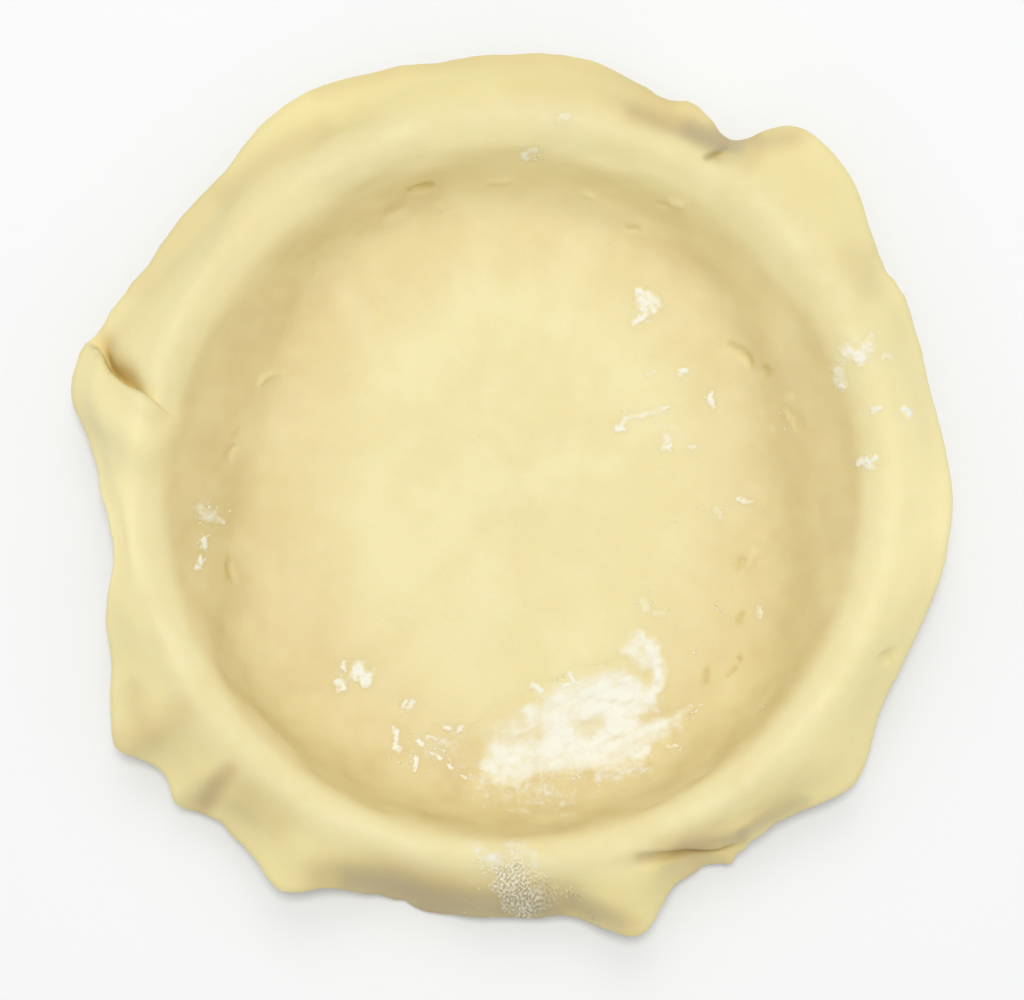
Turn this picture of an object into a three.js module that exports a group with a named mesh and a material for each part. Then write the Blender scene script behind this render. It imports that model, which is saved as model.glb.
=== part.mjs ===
// Unbaked tart case: a rolled sheet of raw shortcrust pastry laid into a plain round tin
// and left untrimmed, so that its hem hangs over the rim in waves and folds.
// Millimetres and degrees. +Z is up, the origin is at the middle of the tin's underside.

import * as THREE from 'three';
import { NURBSCurve } from 'three/addons/curves/NURBSCurve.js';

// Tin: straight flared wall with a bead rolled outwards round its top
const tinMouthRadius = 116.6;     // inside, at the bead
const tinBaseRadius = 113.2;      // inside, just above the corner
const tinHeight = 29.6;
const tinSheet = 1;
const tinCornerRadius = 3;        // inside of the bend between base and wall
const tinBeadRadius = 1.9;
const tinSegments = 64;
const cornerSteps = 3;
const beadSteps = 8;

// Pastry: one sheet of even thickness
const pastryThickness = 3.8;
const clearance = 0.4;            // between the sheet and the tin's base
const floorTop = tinSheet + clearance + pastryThickness;
const rimTop = 35;                // height of the sheet where it turns over the bead
const rimInner = 111.5;           // radius of the sheet's upper face at the top of the wall
const rimCrest = 120;             // radius where the hem starts to fall
const footRadius = 106;           // radius where the wall is steepest
const footSkew = 2.5;             // the wall is pressed further out at the front than at the back
const hemReach = 18.6;            // how far the hem stands out beyond the crest
const hemFall = 13;               // how far the hem hangs below the crest
const shortHem = 10;              // reach up to which a hem counts as short, and runs out evenly
const fullHem = 16;               // reach from which it turns down in full

// Where the sheet hangs slack across the tin's corner instead of being pressed into it
const slacks = [
  { at: 8, spread: 54, inward: 13.5 },
  { at: 172, spread: 56, inward: 11.5 },
];

// Where it bulges out over the rim
const bulges = [
  { at: 187, spread: 24, out: 2.2 },
  { at: 3, spread: 24, out: 2.2 },
];

// Where it is pulled tight over the rim
const taut = { at: 262, spread: 75 };

// Waves of the hem. Each adds reach and fall at one angle, dying away over the angles before and after it.
// A wave with sag drops steeply off the rim and flares out below. A crown under 1 is a pointed tip, over 1 a
// broad one.
const folds = [
  { at: -12, reach: -1, fall: -4, before: 24, after: 26 },
  { at: -4, reach: 3.2, fall: -7, before: 24, after: 24 },
  { at: 26, reach: 3.5, fall: 0, before: 16, after: 12 },
  { at: 30.5, reach: 0, fall: 3, before: 5, after: 5 },
  { at: 33, reach: 1.3, fall: 0, before: 6, after: 6 },
  { at: 49, reach: 12, fall: -6, before: 19, after: 8.5, crown: 1.4 },
  { at: 58.5, reach: -2, fall: 10, before: 4, after: 4.5 },
  { at: 64.5, reach: 1, fall: 0, before: 3, after: 3 },
  { at: 66, reach: 0.5, fall: 9, before: 8, after: 13, sag: 0.5, crown: 1.2 },
  { at: 84, reach: 4, fall: -1, before: 16, after: 20, crown: 1.3 },
  { at: 99, reach: 2, fall: 0, before: 10, after: 10 },
  { at: 105, reach: 1.2, fall: 0, before: 7, after: 6 },
  { at: 118, reach: 7.5, fall: 1, before: 21, after: 18, sag: 0.6, crown: 1.1 },
  { at: 141, reach: 1, fall: 2, before: 12, after: 14, sag: 0.4, crown: 1.2 },
  { at: 154, reach: 2.5, fall: -1, before: 6, after: 5 },
  { at: 160.4, reach: -2, fall: 0, before: 4, after: 2 },
  { at: 164, reach: 7.8, fall: -5, before: 11, after: 11, crown: 1.4 },
  { at: 174, reach: -1, fall: -1, before: 5, after: 6 },
  { at: 177, reach: -1.3, fall: 0, before: 3.5, after: 4 },
  { at: 186, reach: -9, fall: -12, before: 13, after: 18, crown: 1.1 },
  { at: 190, reach: -1.3, fall: 0, before: 6, after: 6 },
  { at: 199, reach: 1.3, fall: -3, before: 12, after: 12 },
  { at: 213, reach: 14, fall: -5, before: 13, after: 8.5, crown: 0.8 },
  { at: 217, reach: 2.2, fall: 6, before: 3, after: 5 },
  { at: 223.6, reach: 10.5, fall: 0, before: 8.5, after: 6, crown: 0.9 },
  { at: 225, reach: 0, fall: 9, before: 2.6, after: 3.6 },
  { at: 230, reach: 5.5, fall: 6.5, before: 6, after: 7 },
  { at: 240, reach: 10.2, fall: -4, before: 12, after: 8.5, crown: 0.85 },
  { at: 247.5, reach: 1.4, fall: 0, before: 4, after: 4 },
  { at: 253, reach: -1, fall: 0, before: 5, after: 5 },
  { at: 257, reach: 2.2, fall: 16, before: 14, after: 15 },
  { at: 272, reach: 1, fall: 8, before: 8, after: 6 },
  { at: 279, reach: 0.5, fall: 7, before: 5, after: 4 },
  { at: 285.8, reach: 10.5, fall: -3, before: 10, after: 7.5, crown: 0.85 },
  { at: 297, reach: 0, fall: 12, before: 9, after: 9, sag: 0.1 },
  { at: 300.5, reach: 2.2, fall: 0, before: 4, after: 4 },
  { at: 307.5, reach: -1.3, fall: 0, before: 4, after: 4 },
  { at: 319.5, reach: 7, fall: 0, before: 11, after: 12, crown: 0.9 },
];

// Tucks, where the sheet rides up over itself along a crease that runs from startAt to endAt.
// start and end count along the run from the rim (0) to the hem (1). The lip stands up on the side of the
// larger angle by rise, highest at crest degrees from the crease, and from pocketFrom outwards the other side
// sinks by deep.
const tucks = [
  {
    startAt: 169.2, endAt: 162.3, start: -0.1, end: 1.2, rise: 4.5, crest: 4.5, lipSpread: 4.5,
    pocketFrom: 0.2, deep: 8, pocketSpread: 2.4,
  },
  {
    startAt: 60.3, endAt: 58, start: 0.28, end: 0.75, rise: 1.2, crest: 2.5, lipSpread: 3.5,
    pocketFrom: 0.36, deep: 5, pocketSpread: 2.2,
  },
  {
    startAt: 288, endAt: 303.5, start: 0.34, end: 0.95, rise: 3.6, crest: 3, lipSpread: 5,
    pocketFrom: 0.36, deep: 8, pocketSpread: 4,
  },
];
const tuckStepHalf = 1.8;         // half the width of the step across a crease, degrees
const lipGrows = 0.45;            // share of the run over which a lip rises
const pocketGrows = 0.3;          // the same for a pocket
const tuckFades = 0.2;            // share of the run over which a tuck dies out before its end

// Grid of the pastry's skin: places along the profile, from the floor (1) over the rim (7) to the hem (10)
const pastryAngles = 180;
const profileSpans = 10;
const upperPlaces = [1, 1.8, 2.4, 3, 3.5, 4, 4.5, 5, 5.5, 6, 6.5, 7, 7.5, 8.1, 8.8, 9.4, 10];
const lowerPlaces = [10, 9.3, 8.5, 7.8, 7.2, 6.6, 6, 5.2, 4.2, 3.2, 1.5];
const rimPlace = 5.5;             // where the run of a tuck begins
const hemNose = 0.35;             // how far the cut edge bulges, as a share of the thickness

// Smooth step from 0 at a to 1 at b
function smooth(a, b, x) {
  return THREE.MathUtils.smoothstep(x, a, b);
}

// Difference of two angles, between -180 and 180
function angleBetween(deg, at) {
  return THREE.MathUtils.euclideanModulo(deg - at + 180, 360) - 180;
}

// Raised cosine: 1 at its angle, 0 from before to after it
function hump(deg, at, before, after, crown = 1) {
  const away = angleBetween(deg, at);
  const share = Math.min(Math.abs(away) / (away < 0 ? before : after), 1);
  return 0.5 + 0.5 * Math.cos(Math.PI * share ** crown);
}

// Reach, fall and sag of the hem at one angle
function hemShape(deg) {
  const hem = { reach: hemReach, fall: hemFall, sag: 0 };
  for (const { at, reach, fall, before, after, sag = 0, crown = 1 } of folds) {
    const share = hump(deg, at, before, after, crown);
    hem.reach += reach * share;
    hem.fall += fall * share;
    hem.sag += sag * share;
  }
  return hem;
}

// Total at one angle of a list of humps, each weighed by its own amount
function totalAt(deg, list, amount) {
  return list.reduce((sum, item) => sum + amount(item) * hump(deg, item.at, item.spread, item.spread), 0);
}

// Distances out from the crest at which the hem starts, turns down, drops and hangs.
// A short hem runs out evenly instead of turning down.
function hemRun(reach, sag, out) {
  const short = 1 - smooth(shortHem, fullHem, reach);
  const start = 0.8 + out;
  const even = (share) => start + share * (reach - start);
  const turn = THREE.MathUtils.lerp(3.2 + 0.2 * reach - sag + 0.7 * out, even(0.34), short);
  const drop = THREE.MathUtils.lerp(2 + (0.52 - 0.3 * sag) * reach + 0.3 * out, even(0.62), short);
  const skirt = THREE.MathUtils.lerp(1 + (0.76 - 0.2 * sag) * reach, even(0.82), short);
  return { short, start, turn, drop, skirt };
}

// Upper face of the sheet in one radial slice, as a clamped cubic spline: floor, wall, turn over the rim, hem
function sliceProfile(deg) {
  const { reach, fall, sag } = hemShape(deg);
  const loose = totalAt(deg, slacks, () => 1);
  const out = totalAt(deg, bulges, (bulge) => bulge.out);
  const skewed = footRadius - footSkew * Math.sin(THREE.MathUtils.degToRad(deg));
  const foot = skewed - totalAt(deg, slacks, (slack) => slack.inward);
  const tight = hump(deg, taut.at, taut.spread, taut.spread);
  const depth = rimTop - floorTop;
  const hem = hemRun(reach, sag, out);
  const points = [
    [0, floorTop],
    [0.3 * foot, floorTop],
    [0.6 * foot, floorTop],
    [foot - 15.5, floorTop],
    [foot - 6, floorTop + 2.6],
    [foot, floorTop + (0.4 - 0.06 * loose) * depth],
    [foot + (0.5 + 0.26 * loose) * (rimInner - foot), floorTop + (0.77 - 0.07 * loose) * depth],
    [rimInner + 1.5 + tight + 0.8 * out, rimTop - 1.6 + 2.2 * tight],
    [rimCrest + hem.start, rimTop + 1.5],
    [rimCrest + hem.turn, rimTop - 0.1 * fall - 3 * sag + 0.5 * hem.short],
    [rimCrest + hem.drop, rimTop - (0.42 + 0.42 * sag) * fall],
    [rimCrest + hem.skirt, rimTop - (0.78 + 0.17 * sag) * fall],
    [rimCrest + reach, rimTop - fall],
  ];
  const inner = Array.from({ length: profileSpans - 1 }, (_, i) => i + 1);
  const knots = [0, 0, 0, 0, ...inner, ...Array(4).fill(profileSpans)];
  return new NURBSCurve(3, knots, points.map(([r, z]) => new THREE.Vector3(r, z, 0)));
}

// How far the tucks lift the upper face (lip) and lower the whole sheet (pocket) at one place
function tuckRelief(deg, place) {
  const run = Math.max(place - rimPlace, -1) / (profileSpans - rimPlace);
  let lip = 0;
  let pocket = 0;
  for (const t of tucks) {
    const along = THREE.MathUtils.clamp((run - t.start) / (t.end - t.start), 0, 1);
    const away = angleBetween(deg, THREE.MathUtils.lerp(t.startAt, t.endAt, along));
    const kept = 1 - smooth(t.end - tuckFades, t.end + 0.05, run);
    const overlap = smooth(-tuckStepHalf, tuckStepHalf, away);
    const rolled = 0.3 + 0.7 * Math.sqrt(1 - (1 - THREE.MathUtils.clamp(away / t.crest, 0, 1)) ** 2);
    const lipTail = Math.exp(-((Math.max(away - t.crest, 0) / t.lipSpread) ** 2));
    lip += kept * smooth(t.start, t.start + lipGrows, run) * t.rise * overlap * rolled * lipTail;
    const pocketTail = Math.exp(-((Math.min(away, 0) / t.pocketSpread) ** 2));
    const sunk = kept * smooth(t.pocketFrom, t.pocketFrom + pocketGrows, run);
    pocket += sunk * t.deep * (1 - overlap) * pocketTail;
  }
  return { lip, pocket };
}

// Upper, edge and lower points of one radial slice, in order from the floor out to the hem and back under
function slicePoints(deg) {
  const profile = sliceProfile(deg);
  const angle = THREE.MathUtils.degToRad(deg);
  const upper = (place) => {
    const at = profile.getPoint(place / profileSpans);
    const { lip, pocket } = tuckRelief(deg, place);
    return new THREE.Vector2(at.x, at.y + lip - pocket);
  };
  const lower = (place) => {
    const at = profile.getPoint(place / profileSpans);
    const along = profile.getTangent(place / profileSpans);
    const { pocket } = tuckRelief(deg, place);
    return new THREE.Vector2(at.x + pastryThickness * along.y, at.y - pastryThickness * along.x - pocket);
  };
  const top = upperPlaces.map(upper);
  const under = lowerPlaces.map(lower);
  const along = profile.getTangent(1);
  const nose = top.at(-1).clone().add(under[0]).multiplyScalar(0.5);
  nose.add(new THREE.Vector2(along.x, along.y).multiplyScalar(hemNose * pastryThickness));
  const turned = (p) => new THREE.Vector3(p.x * Math.cos(angle), p.x * Math.sin(angle), p.y);
  return [...top, nose, ...under].map(turned);
}

// Closed skin of the sheet: rings of quads between two fans that close the floor
function pastryGeometry() {
  const slices = Array.from({ length: pastryAngles }, (_, k) => slicePoints((360 * k) / pastryAngles));
  const rings = slices[0].length;
  const points = slices.flat();
  const upperMiddle = points.push(new THREE.Vector3(0, 0, floorTop)) - 1;
  const lowerMiddle = points.push(new THREE.Vector3(0, 0, floorTop - pastryThickness)) - 1;
  const triangles = [];
  for (let k = 0; k < pastryAngles; k += 1) {
    const here = k * rings;
    const next = ((k + 1) % pastryAngles) * rings;
    triangles.push(upperMiddle, here, next);
    for (let i = 0; i < rings - 1; i += 1) {
      triangles.push(here + i, here + i + 1, next + i + 1);
      triangles.push(here + i, next + i + 1, next + i);
    }
    triangles.push(lowerMiddle, next + rings - 1, here + rings - 1);
  }
  const geometry = new THREE.BufferGeometry().setFromPoints(points);
  geometry.setIndex(triangles);
  geometry.computeVertexNormals();
  return geometry;
}

// Points of an arc in the tin's section
function arcPoints(centreR, centreZ, radius, fromDeg, toDeg, steps) {
  return Array.from({ length: steps + 1 }, (_, i) => {
    const angle = THREE.MathUtils.degToRad(fromDeg + ((toDeg - fromDeg) * i) / steps);
    return new THREE.Vector2(centreR + radius * Math.cos(angle), centreZ + radius * Math.sin(angle));
  });
}

// Section of the tin from the middle of its underside, up the outside, round the bead and down the inside
function tinGeometry() {
  const outerCorner = tinCornerRadius + tinSheet;
  const beadR = tinMouthRadius + tinBeadRadius;
  const beadZ = tinHeight - tinBeadRadius;
  const wallMeetsBead = -THREE.MathUtils.radToDeg(Math.acos((tinSheet - tinBeadRadius) / tinBeadRadius));
  const cornerR = tinBaseRadius - tinCornerRadius;
  const section = [
    new THREE.Vector2(0, 0),
    ...arcPoints(cornerR, outerCorner, outerCorner, -90, 0, cornerSteps),
    ...arcPoints(beadR, beadZ, tinBeadRadius, wallMeetsBead, 180, beadSteps),
    ...arcPoints(cornerR, outerCorner, tinCornerRadius, 0, -90, cornerSteps),
    new THREE.Vector2(0, tinSheet),
  ];
  return new THREE.LatheGeometry(section, tinSegments).rotateX(Math.PI / 2);
}

const tin = new THREE.Mesh(
  tinGeometry(),
  new THREE.MeshStandardMaterial({ color: 0xb9bcbe, roughness: 0.38, metalness: 1 }),
);
tin.name = 'tin';

const pastry = new THREE.Mesh(
  pastryGeometry(),
  new THREE.MeshStandardMaterial({ color: 0xece0b0, roughness: 0.62, metalness: 0 }),
);
pastry.name = 'pastry';

const tartCase = new THREE.Group();
tartCase.add(tin, pastry);

export default tartCase;
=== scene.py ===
import math

import bpy
import numpy as np
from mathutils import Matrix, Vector


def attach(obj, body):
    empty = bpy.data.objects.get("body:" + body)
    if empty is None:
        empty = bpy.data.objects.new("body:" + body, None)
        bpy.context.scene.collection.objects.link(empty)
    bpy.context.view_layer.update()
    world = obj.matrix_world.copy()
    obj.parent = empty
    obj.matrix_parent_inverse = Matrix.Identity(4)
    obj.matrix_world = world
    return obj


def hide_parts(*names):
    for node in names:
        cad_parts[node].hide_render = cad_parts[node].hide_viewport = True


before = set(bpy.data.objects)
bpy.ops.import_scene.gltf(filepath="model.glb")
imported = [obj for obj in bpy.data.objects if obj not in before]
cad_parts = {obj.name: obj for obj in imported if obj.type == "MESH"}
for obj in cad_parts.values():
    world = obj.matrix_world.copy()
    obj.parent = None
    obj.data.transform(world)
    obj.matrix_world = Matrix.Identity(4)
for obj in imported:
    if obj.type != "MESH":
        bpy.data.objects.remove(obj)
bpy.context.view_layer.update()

mm = 0.001               # shapes are worked out in millimetres, meshes are in metres

# Raw shortcrust laid into a round tin and left hanging over its rim, still dusted with flour.

camera = dict(imageWide=1024, imageTall=1000, mmPerPixel=0.32, distance=865.0, tilt=2.0,
              aim=(0.0, -3.84, 35.0), sensor=36.0)


# Small helpers

# Smooth step: 0 at a, 1 at b, flat at both ends
def smooth(a, b, x):
    s = np.clip((x - a) / (b - a), 0, 1)
    return s * s * (3 - 2 * s)


# Difference of two angles, between -180 and 180 degrees
def degreesAway(deg, at):
    return (deg - at + 180.0) % 360.0 - 180.0


# Raised cosine: 1 at its angle, 0 from before to after it; crown under 1 is pointed, over 1 is broad
def hump(deg, at, before, after, crown=1.0):
    d = degreesAway(deg, at)
    share = np.clip(np.abs(d) / np.where(d < 0, before, after), 0, 1)
    return 0.5 + 0.5 * np.cos(np.pi * share ** crown)


# Hump that is as wide before its angle as after it
def evenHump(deg, at, spread):
    return hump(deg, at, spread, spread)


# Band: rises from a to b and falls again from c to d
def band(x, a, b, c, d):
    return smooth(a, b, x) * (1 - smooth(c, d, x))


# Points with no height, for noise over the picture or round the hem
def flatPoints(across, along):
    return np.stack([across, along, 0 * across], -1)


# Points round the axis: radius times cosine, radius times sine, and a height; the turn is in radians
def roundPoints(radius, turn, height):
    return np.stack(np.broadcast_arrays(radius * np.cos(turn), radius * np.sin(turn), height), -1)


noiseLattice = 32


# Value noise from -1 to 1: smooth blend of the eight seeded lattice corners round each point
def softNoise(points, size, seed):
    corners = np.random.default_rng(seed).uniform(-1, 1, (noiseLattice,) * 3)
    cell = points / size
    low = np.floor(cell).astype(int)
    part = cell - low
    part = part * part * (3 - 2 * part)
    total = np.zeros(points.shape[:-1])
    for corner in np.ndindex(2, 2, 2):
        at = (low + corner) % noiseLattice
        share = np.prod(np.where(corner, part, 1 - part), axis=-1)
        total += share * corners[at[..., 0], at[..., 1], at[..., 2]]
    return total


# Mesh object from arrays of points (mm), quads and triangles
def meshFromArrays(name, points, quads, triangles=None):
    if triangles is None:
        triangles = np.zeros((0, 3), int)
    mesh = bpy.data.meshes.new(name)
    mesh.vertices.add(len(points))
    mesh.vertices.foreach_set("co", (np.asarray(points) * mm).astype(np.float32).ravel())
    corners = np.concatenate([quads.ravel(), triangles.ravel()]).astype(np.int32)
    mesh.loops.add(len(corners))
    mesh.loops.foreach_set("vertex_index", corners)
    starts = np.concatenate([np.arange(len(quads)) * 4, len(quads) * 4 + np.arange(len(triangles)) * 3])
    mesh.polygons.add(len(starts))
    mesh.polygons.foreach_set("loop_start", starts.astype(np.int32))
    mesh.update(calc_edges=True)
    mesh.validate()
    mesh.shade_smooth()
    made = bpy.data.objects.new(name, mesh)
    bpy.context.scene.collection.objects.link(made)
    return made


# Gives every point of a piece a number that its material reads
def pointValue(piece, name, values):
    kept = piece.data.attributes.new(name, "FLOAT", "POINT")
    kept.data.foreach_set("value", np.asarray(values, np.float32).ravel())


# Camera geometry, so that marks and flour sit where the picture has them

# Unit vectors right, up and forward, and the camera's place in mm
def cameraFrame():
    tilt = math.radians(camera["tilt"])
    right = np.array([1.0, 0.0, 0.0])
    up = np.array([0.0, math.cos(tilt), math.sin(tilt)])
    forward = np.array([0.0, math.sin(tilt), -math.cos(tilt)])
    return right, up, forward, np.array(camera["aim"]) - camera["distance"] * forward


# Picture pixel of points in mm: plain perspective
def photoPixel(points):
    right, up, forward, place = cameraFrame()
    focal = camera["distance"] / camera["mmPerPixel"]
    d = points - place
    depth = d @ forward
    px = camera["imageWide"] / 2 + focal * (d @ right) / depth
    py = camera["imageTall"] / 2 - focal * (d @ up) / depth
    return px, py


# Where the ray through a picture pixel meets the height z
def pixelAtHeight(px, py, z):
    right, up, forward, place = cameraFrame()
    focal = camera["distance"] / camera["mmPerPixel"]
    across = px - camera["imageWide"] / 2
    along = camera["imageTall"] / 2 - py
    ray = focal * forward + across[..., None] * right + along[..., None] * up
    steps = (z - place[2]) / ray[..., 2]
    return place[0] + steps * ray[..., 0], place[1] + steps * ray[..., 1]


# Strokes drawn over the picture

# One stroke: its half width in pixels, its share from 0 to 1, and the picture pixels that it passes
def stroke(half, load, *path):
    return dict(half=half, load=load, path=path)


# Distance in pixels from points to a path of straight runs: the least over its runs
def pathDistance(px, py, path):
    best = np.full(px.shape, np.inf)
    for (x0, y0), (x1, y1) in zip(path[:-1], path[1:]):
        dx, dy = x1 - x0, y1 - y0
        t = np.clip(((px - x0) * dx + (py - y0) * dy) / (dx * dx + dy * dy), 0, 1)
        best = np.minimum(best, np.hypot(px - x0 - t * dx, py - y0 - t * dy))
    return best


# Load of a set of strokes: each fades from core to rim, counted in half widths, and where they overlap they
# fill up towards 1
def strokeLoad(px, py, strokes, core, rim):
    bare = np.ones(px.shape)
    for s in strokes:
        near = pathDistance(px, py, s["path"]) / s["half"]
        bare *= 1 - s["load"] * (1 - smooth(core, rim, near))
    return 1 - bare


# The pastry sheet

sheet = dict(thickness=3.8, floorTop=5.2, rimTop=35.0, rimInner=111.5, rimCrest=120.0,
             foot=106.0, footSkew=2.5, hemReach=18.6, hemFall=13.0, hemRagged=0.35, edgeBulge=0.2,
             angles=640, floorRows=14, footRows=56, wallRows=20, rimRows=40, noseRows=4,
             underRows=10, underWallRows=8)

# places along the sheet's profile, from its middle (0) to the cut edge
profile = dict(spans=10, firstRing=0.22, footFrom=1.8, footTo=3.7, rim=5.5, underEnds=2.0)

# where the sheet hangs slack across the tin's corner
slacks = [dict(at=8, spread=54, inward=13.5), dict(at=172, spread=56, inward=11.5)]

# where the turn over the rim stands further out
bulges = [dict(at=187, spread=24, out=2.2), dict(at=3, spread=24, out=2.2)]

# where it is pulled tight over the rim
taut = dict(at=262, spread=75)

# waves of the hem: reach and fall in mm; sag drops steeply and flares out below
folds = [
    dict(at=-12, reach=-1, fall=-4, before=24, after=26),
    dict(at=-4, reach=3.2, fall=-7, before=24, after=24),
    dict(at=26, reach=3.5, fall=0, before=16, after=12),
    dict(at=30.5, reach=0, fall=3, before=5, after=5),
    dict(at=33, reach=1.3, fall=0, before=6, after=6),
    dict(at=49, reach=12, fall=-6, before=19, after=8.5, crown=1.4),
    dict(at=58.5, reach=-2, fall=10, before=4, after=4.5),
    dict(at=64.5, reach=1, fall=0, before=3, after=3),
    dict(at=66, reach=0.5, fall=9, before=8, after=13, sag=0.5, crown=1.2),
    dict(at=84, reach=4, fall=-1, before=16, after=20, crown=1.3),
    dict(at=99, reach=2, fall=0, before=10, after=10),
    dict(at=105, reach=1.2, fall=0, before=7, after=6),
    dict(at=118, reach=7.5, fall=1, before=21, after=18, sag=0.6, crown=1.1),
    dict(at=141, reach=1, fall=2, before=12, after=14, sag=0.4, crown=1.2),
    dict(at=154, reach=2.5, fall=-1, before=6, after=5),
    dict(at=159.6, reach=-1.0, fall=0, before=4, after=1.8),
    dict(at=164, reach=7.8, fall=-5, before=11, after=11, crown=1.4),
    dict(at=174, reach=-1, fall=-1, before=5, after=6),
    dict(at=177, reach=-1.3, fall=0, before=3.5, after=4),
    dict(at=186, reach=-9, fall=-12, before=13, after=18, crown=1.1),
    dict(at=190, reach=-1.3, fall=0, before=6, after=6),
    dict(at=199, reach=1.3, fall=-3, before=12, after=12),
    dict(at=213, reach=14, fall=-5, before=13, after=8.5, crown=0.8),
    dict(at=217, reach=2.2, fall=6, before=3, after=5),
    dict(at=223.6, reach=10.5, fall=0, before=8.5, after=6, crown=0.9),
    dict(at=225, reach=0, fall=9, before=2.6, after=3.6),
    dict(at=230, reach=5.5, fall=6.5, before=6, after=7),
    dict(at=240, reach=10.2, fall=-4, before=12, after=8.5, crown=0.85),
    dict(at=247.5, reach=1.4, fall=0, before=4, after=4),
    dict(at=253, reach=-1, fall=0, before=5, after=5),
    dict(at=257, reach=2.2, fall=16, before=14, after=15),
    dict(at=272, reach=1, fall=8, before=8, after=6),
    dict(at=279, reach=0.5, fall=7, before=5, after=4),
    dict(at=285.8, reach=10.5, fall=-3, before=10, after=7.5, crown=0.85),
    dict(at=297, reach=0, fall=12, before=9, after=9, sag=0.1),
    dict(at=300.5, reach=2.2, fall=0, before=4, after=4),
    dict(at=307.5, reach=-1.3, fall=0, before=4, after=4),
    dict(at=319.5, reach=7, fall=0, before=11, after=12, crown=0.9),
]

# tucks, where the sheet rides up over itself along a crease: angles in degrees, heights in mm; start, end and
# the like count from the rim (0) to the cut edge (1)
tucks = [
    dict(startAt=169.2, endAt=163.25, start=-0.1, end=1.02, rise=4.5, crest=4.5, lipSpread=4.5,
         pocketFrom=0.2, deep=8.0, pocketSpread=2.4, lean=1.5, hemLean=0.5, hook=-2.2,
         shade=0.8, shadeSpread=1.8, shadeFrom=0.38, shadeTo=0.98),
    dict(startAt=60.3, endAt=58.0, start=0.28, end=0.75, rise=1.2, crest=2.5, lipSpread=3.5,
         pocketFrom=0.36, deep=5.0, pocketSpread=2.2, lean=0.5, hemLean=0.0, hook=0.0,
         shade=0.35, shadeSpread=0.9, shadeFrom=0.3, shadeTo=0.8),
    dict(startAt=288.0, endAt=303.5, start=0.34, end=0.95, rise=3.6, crest=3.0, lipSpread=5.0,
         pocketFrom=0.36, deep=8.0, pocketSpread=4.0, lean=1.3, hemLean=0.0, hook=0.0,
         shade=0.6, shadeSpread=2.2, shadeFrom=0.5, shadeTo=1.0),
]
# what all tucks share: half width of the step in degrees, and how their parts come and go along the hem
tuckStep = dict(half=0.9, lipGrows=0.45, pocketGrows=0.3, fades=0.2, fadedBy=0.05, leastRoll=0.3,
                hookFrom=0.72, hemLeanFrom=0.7, leanAt=0.7, leanSpread=0.9,
                shadeGrows=0.2, shadeFades=0.25, shadeBehind=0.7)

# torn stretches of the cut edge: angle, spread in degrees, depth in mm
tornEdges = [dict(at=66, spread=8, deep=2.2), dict(at=157, spread=7, deep=2.0),
             dict(at=253, spread=11, deep=1.3), dict(at=301, spread=6, deep=1.2),
             dict(at=28, spread=14, deep=0.5)]
# noise round the cut edge, its radius and sizes in mm
cutEdge = dict(radius=140.0, coarse=0.6, coarseSize=9.0, fine=0.5, fineSize=3.2, seed=11)


# Uneven cut edge: two sizes of noise round the hem, stronger where it tore
def raggedEdge(deg):
    turn = np.radians(deg)
    hem = flatPoints(cutEdge["radius"] * np.cos(turn), cutEdge["radius"] * np.sin(turn))
    deep = sheet["hemRagged"] + sum(t["deep"] * evenHump(deg, t["at"], t["spread"]) for t in tornEdges)
    coarse = cutEdge["coarse"] * softNoise(hem, cutEdge["coarseSize"], cutEdge["seed"])
    fine = cutEdge["fine"] * softNoise(hem, cutEdge["fineSize"], cutEdge["seed"] + 1)
    return deep * (coarse + fine)


# Reach, fall and sag of the hem: base values plus the sum of the waves
def hemShape(deg):
    reach = np.full_like(deg, sheet["hemReach"])
    fall = np.full_like(deg, sheet["hemFall"])
    sag = np.zeros_like(deg)
    for f in folds:
        share = hump(deg, f["at"], f["before"], f["after"], f.get("crown", 1.0))
        reach = reach + f["reach"] * share
        fall = fall + f["fall"] * share
        sag = sag + f.get("sag", 0.0) * share
    return reach, fall, sag


# slice through floor and wall: shares of the foot's radius, mm from foot, floor and rim, shares of the wall's
# depth, and what slack, a taut rim and a bulge change
wallSlice = dict(flatShares=(0.3, 0.6), flatEnds=15.5, roundsIn=6, roundsUp=2.6, low=0.4, lowSlack=0.06,
                 high=0.77, highSlack=0.07, highOut=0.5, highOutSlack=0.26,
                 topOut=1.5, topBulge=0.8, topDown=1.6, topTaut=2.2)
# slice through the hem: mm past the rim's crest, shares of the hem's reach and fall, and what sag, a bulge, a
# torn edge and a short reach change
hemSlice = dict(start=0.8, startUp=1.5,
                turnOut=3.2, turnReach=0.2, turnBulge=0.7, turnFall=0.1, turnSink=3,
                dropOut=2, dropReach=0.52, dropSag=0.3, dropBulge=0.3, dropFall=0.42, dropSink=0.42,
                skirtOut=1, skirtReach=0.76, skirtSag=0.2, skirtFall=0.78, skirtSink=0.17, skirtTorn=0.35,
                shortFrom=16, shortTo=10, shortTurn=0.34, shortDrop=0.62, shortSkirt=0.82, shortUp=0.5)


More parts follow.
